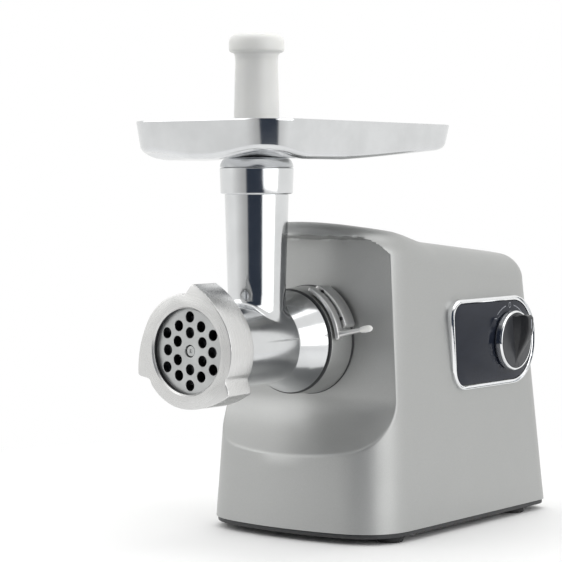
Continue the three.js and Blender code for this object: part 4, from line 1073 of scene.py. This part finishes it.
def dial_marks():
    """The dial's print: two arcs about the knob, a zero above it and a tick at the left."""
    y, z = KNOB_AXIS
    radius, line = 25.2, 0.55
    x = span("control_panel")[1][0] - 0.02

    def arc(start, end):
        angles = [radians(lerp(start, end, i / 24)) for i in range(25)]
        return [(y - radius * sin(a), z + radius * cos(a)) for a in angles]

    print_strip("dial_arc_left", x, arc(12, 42), line, PRINT_PALE)
    print_strip("dial_arc_right", x, arc(-12, -40), line, PRINT_PALE)
    zero = [(y + 1.3 * cos(t * pi / 12), z + radius + 1.9 * sin(t * pi / 12)) for t in range(25)]
    print_strip("dial_zero", x, zero, 0.45, PRINT_PALE)
    tick_y, tick_z = y - (radius - 0.5) * sin(radians(50)), z + radius * cos(radians(50))
    print_strip("dial_tick_left", x, [(tick_y - 1.6, tick_z), (tick_y + 1.6, tick_z)], 0.6, PRINT_PALE)


# ---------- rear and feet ----------
def feet():
    for corner in ("front_left", "front_right", "rear_left", "rear_right"):
        node = "foot_" + corner
        low, high = span(node)
        centre = ((low[0] + high[0]) / 2, (low[1] + high[1]) / 2)
        foot = lathe(node + "_pad", "Z", centre, [
            (0, 0.6), (5.4, 0.6, 0.3), (6, 0, 0.3), (8.2, 0, 0.8), (9, 1.2, 0.6), (8.7, 3.9), (0, 3.9)], 64)
        finished(foot, RUBBER, "housing", [node])


def cord_inlet():
    low, high = span("cord_inlet")
    centre = ((low[0] + high[0]) / 2, (low[2] + high[2]) / 2)
    gland = lathe("cord_inlet_bush", "Y", centre, [
        (4, low[1], 0.5), (7, low[1], 0.5), (7, high[1] - 2.6), (9.5, high[1] - 2.4, 0.6),
        (9.3, high[1], 1.0), (5, high[1], 0.8), (4, high[1] - 1.5, 0.5)], 64, closed=True)
    finished(gland, RUBBER, "housing", ["cord_inlet"])


def dress_cad_nodes():
    """Procedural finishes for the CAD nodes that stay as they are."""
    looks = {
        "steel": PLATE_STEEL, "cast_aluminium": CASTING, "satin_aluminium": SATIN,
        "black_plastic": DARK_PLASTIC_AND_PAINTED_SHADE, "white_plastic": MILKY, "brass": turned_brass(),
        "copper": winding_copper(), "nylon": NYLON, "cast_iron": rough_iron(),
        "circuit_green": board_green(), "foot_rubber": RUBBER, "chrome_trim": CHROME,
        "painted_housing": PAINT, "panel_gloss": PANEL_GLOSS}
    slots = {entry["node"]: entry["material_slot"] for entry in frame["record"]["subparts"]}
    for name, node in frame["nodes"].items():
        node.data.materials.clear()
        node.data.materials.append(looks[slots[name]])


# ---------- stage, light and camera ----------
FLOOR_RADIUS = 0.60


def stage():
    """A round white floor that brightens outwards into the white room."""
    facets = 128
    floor = bpy.data.meshes.new("floor")
    turns = [2 * pi * i / facets for i in range(facets)]
    rim = [(FLOOR_RADIUS * cos(a), FLOOR_RADIUS * sin(a), 0) for a in turns]
    floor.from_pydata(rim, [], [tuple(range(facets))])
    made = bpy.data.objects.new("floor", floor)
    bpy.context.scene.collection.objects.link(made)
    look = Look("studio_floor", (0.93, 0.93, 0.93), 0.6)
    look.set(Specular_IOR_Level=0.1)
    look.uneven(look.noise(3), 0.05)
    reach = look.node("ShaderNodeVectorMath", operation="LENGTH")
    look.link(look.coordinates, reach.inputs[0])
    outward = look.ranged(reach.outputs["Value"], 0, 1, FLOOR_RADIUS * 0.30, FLOOR_RADIUS * 0.85)
    glow = look.node("ShaderNodeEmission")
    glow.inputs["Color"].default_value = (1, 1, 1, 1)
    mix = look.node("ShaderNodeMixShader")
    look.link(outward, mix.inputs["Fac"])
    look.link(look.shader.outputs["BSDF"], mix.inputs[1])
    look.link(glow.outputs["Emission"], mix.inputs[2])
    look.link(mix.outputs["Shader"], look.tree.nodes["Material Output"].inputs["Surface"])
    made.data.materials.append(look.material)


CAMERA_AZIMUTH, CAMERA_DIP, CAMERA_LENS, CAMERA_SENSOR = 37.39, 2.71, 130.8, 36
CAMERA_PLACE = (832.1, -993.3, AXIS_Z + 106.0)
# The unlit gap between the soft boxes: the bearing of its middle, half its width and its soft edge.
GAP_MIDDLE, GAP_HALF, GAP_EDGE = radians(-56), radians(29), radians(3)
GAP_COLOR = (0.035, 0.045, 0.065)
LIGHT_AIM = (0, 130, 130)
# Each soft box: its place from the point that it lights, its size in metres and its power in watts.
SOFT_BOXES = {
    "key": ((-1.3, -1.2, 1.0), (1.4, 1.4), 7),
    "side": ((1.9, -0.3, 0.5), (1.9, 1.5), 12),
    "top": ((0, 0.1, 1.7), (2.0, 2.0), 12),
}


def studio_world():
    """A white studio with an unlit gap between two soft boxes, which the metal mirrors as dark bands."""
    world = bpy.data.worlds.new("studio")
    bpy.context.scene.world = world
    world.use_nodes = True
    world.node_tree.nodes.clear()
    graph = Graph(world.node_tree)

    def soft(value, start, end, low, high):
        return graph.ranged(value, low, high, start, end, "SMOOTHSTEP")

    def mixed(factor, first, second):
        made = graph.node("ShaderNodeMixRGB")
        graph.link(factor, made.inputs["Fac"])
        for name, value in (("Color1", first), ("Color2", second)):
            if isinstance(value, tuple):
                made.inputs[name].default_value = (*value, 1)
            else:
                graph.link(value, made.inputs[name])
        return made.outputs["Color"]

    split = graph.node("ShaderNodeSeparateXYZ")
    graph.link(graph.node("ShaderNodeTexCoord").outputs["Generated"], split.inputs["Vector"])
    turn = graph.math("ARCTAN2", split.outputs["Y"], split.outputs["X"])
    side = graph.math("SUBTRACT", turn, GAP_MIDDLE)
    clockwise = graph.math("MULTIPLY", side, -1)
    outside = soft(graph.math("ABSOLUTE", side), GAP_HALF - GAP_EDGE, GAP_HALF + GAP_EDGE, 0, 1)
    above = soft(split.outputs["Z"], 0.55, 0.8, 0, 1)
    lit = graph.math("MAXIMUM", outside, above)
    left = soft(clockwise, GAP_HALF - GAP_EDGE, radians(105), 0.50, 1.12)
    right = graph.math("ADD", soft(side, -GAP_EDGE, GAP_EDGE, 0, 0.25),
                       soft(side, GAP_HALF, radians(80), 0, 0.34))
    level = graph.math("MAXIMUM", graph.math("ADD", left, right), graph.math("MULTIPLY", above, 0.9))
    walls = mixed(level, (0.0, 0.0, 0.0), (1.0, 1.0, 0.99))
    room = mixed(lit, GAP_COLOR, walls)
    seen = mixed(graph.node("ShaderNodeLightPath").outputs["Is Camera Ray"], room, (1.0, 1.0, 1.0))
    background = graph.node("ShaderNodeBackground")
    graph.link(seen, background.inputs["Color"])
    background.inputs["Strength"].default_value = 1.0
    graph.link(background.outputs["Background"], graph.node("ShaderNodeOutputWorld").inputs["Surface"])


def soft_box(name, centre, aim, size, power):
    light = bpy.data.lights.new(name, "AREA")
    light.shape = "RECTANGLE"
    light.size, light.size_y = size
    light.energy = power
    made = bpy.data.objects.new(name, light)
    made.location = centre
    made.rotation_euler = (Vector(aim) - Vector(centre)).to_track_quat("-Z", "Y").to_euler()
    bpy.context.scene.collection.objects.link(made)


def lights():
    aim = place(LIGHT_AIM)
    for name, (offset, size, power) in SOFT_BOXES.items():
        soft_box(name, aim + Vector(offset), aim, size, power)


def camera():
    data = bpy.data.cameras.new("camera")
    data.lens, data.sensor_width = CAMERA_LENS, CAMERA_SENSOR
    made = bpy.data.objects.new("camera", data)
    made.location = place(CAMERA_PLACE)
    made.rotation_euler = (radians(90 - CAMERA_DIP), 0, radians(CAMERA_AZIMUTH))
    bpy.context.scene.collection.objects.link(made)
    bpy.context.scene.camera = made


PAINT = painted_silver()
CASTING = polished_casting(centre=(HEAD_X, PLATE_Y + TUBE_Y * MM), axis="Z")
TRAY_METAL = polished_casting("polished_tray", "Z", (HEAD_X, PLATE_Y + TUBE_Y * MM), 0.15)
SATIN = satin_casting(centre=(HEAD_X, AXIS_Z * MM))
NUT_SATIN = satin_casting("nut_satin", "Y", (HEAD_X, AXIS_Z * MM), 0.30)
PLATE_STEEL = ground_steel(centre=(HEAD_X, AXIS_Z * MM))
DARK_STEEL = ground_steel("dark_steel", color=(0.12, 0.12, 0.13))
# Near-black steel as painted shade on the walls of bores and holes.
PAINTED_SHADE_BORE = ground_steel("painted_shade_bore", color=(0.035, 0.036, 0.04), roughness=0.5)
CHROME = bright_chrome()
PANEL_GLOSS = gloss_panel()
KNOB_PLASTIC = moulded_plastic("knob_plastic", (0.035, 0.037, 0.042), 0.38)
FIN_PLASTIC = moulded_plastic("fin_plastic", (0.016, 0.017, 0.02), 0.34)
# Black moulded plastic for the base and CAD parts, also used for the dark rings that paint shade at the
# socket.
DARK_PLASTIC_AND_PAINTED_SHADE = moulded_plastic("dark_plastic_and_painted_shade", (0.03, 0.031, 0.033), 0.5)
NYLON = moulded_plastic("nylon", (0.62, 0.59, 0.50), 0.45)
PRINT_PALE = moulded_plastic("pale_print", (0.30, 0.31, 0.34), 0.5, 0.01)
MILKY = milky_plastic()
RUBBER = soft_rubber()

bpy.context.scene.view_settings.view_transform = "Standard"
camera()
lights()
studio_world()
stage()
dress_cad_nodes()
housing()
base_strip()
socket_collar()
lock_lever()
lock_guide()
grinder_head()
cutting_plate()
ring_nut()
worm_pin()
hopper_tray()
food_pusher()
panel()
knob()
dial_marks()
feet()
cord_inlet()
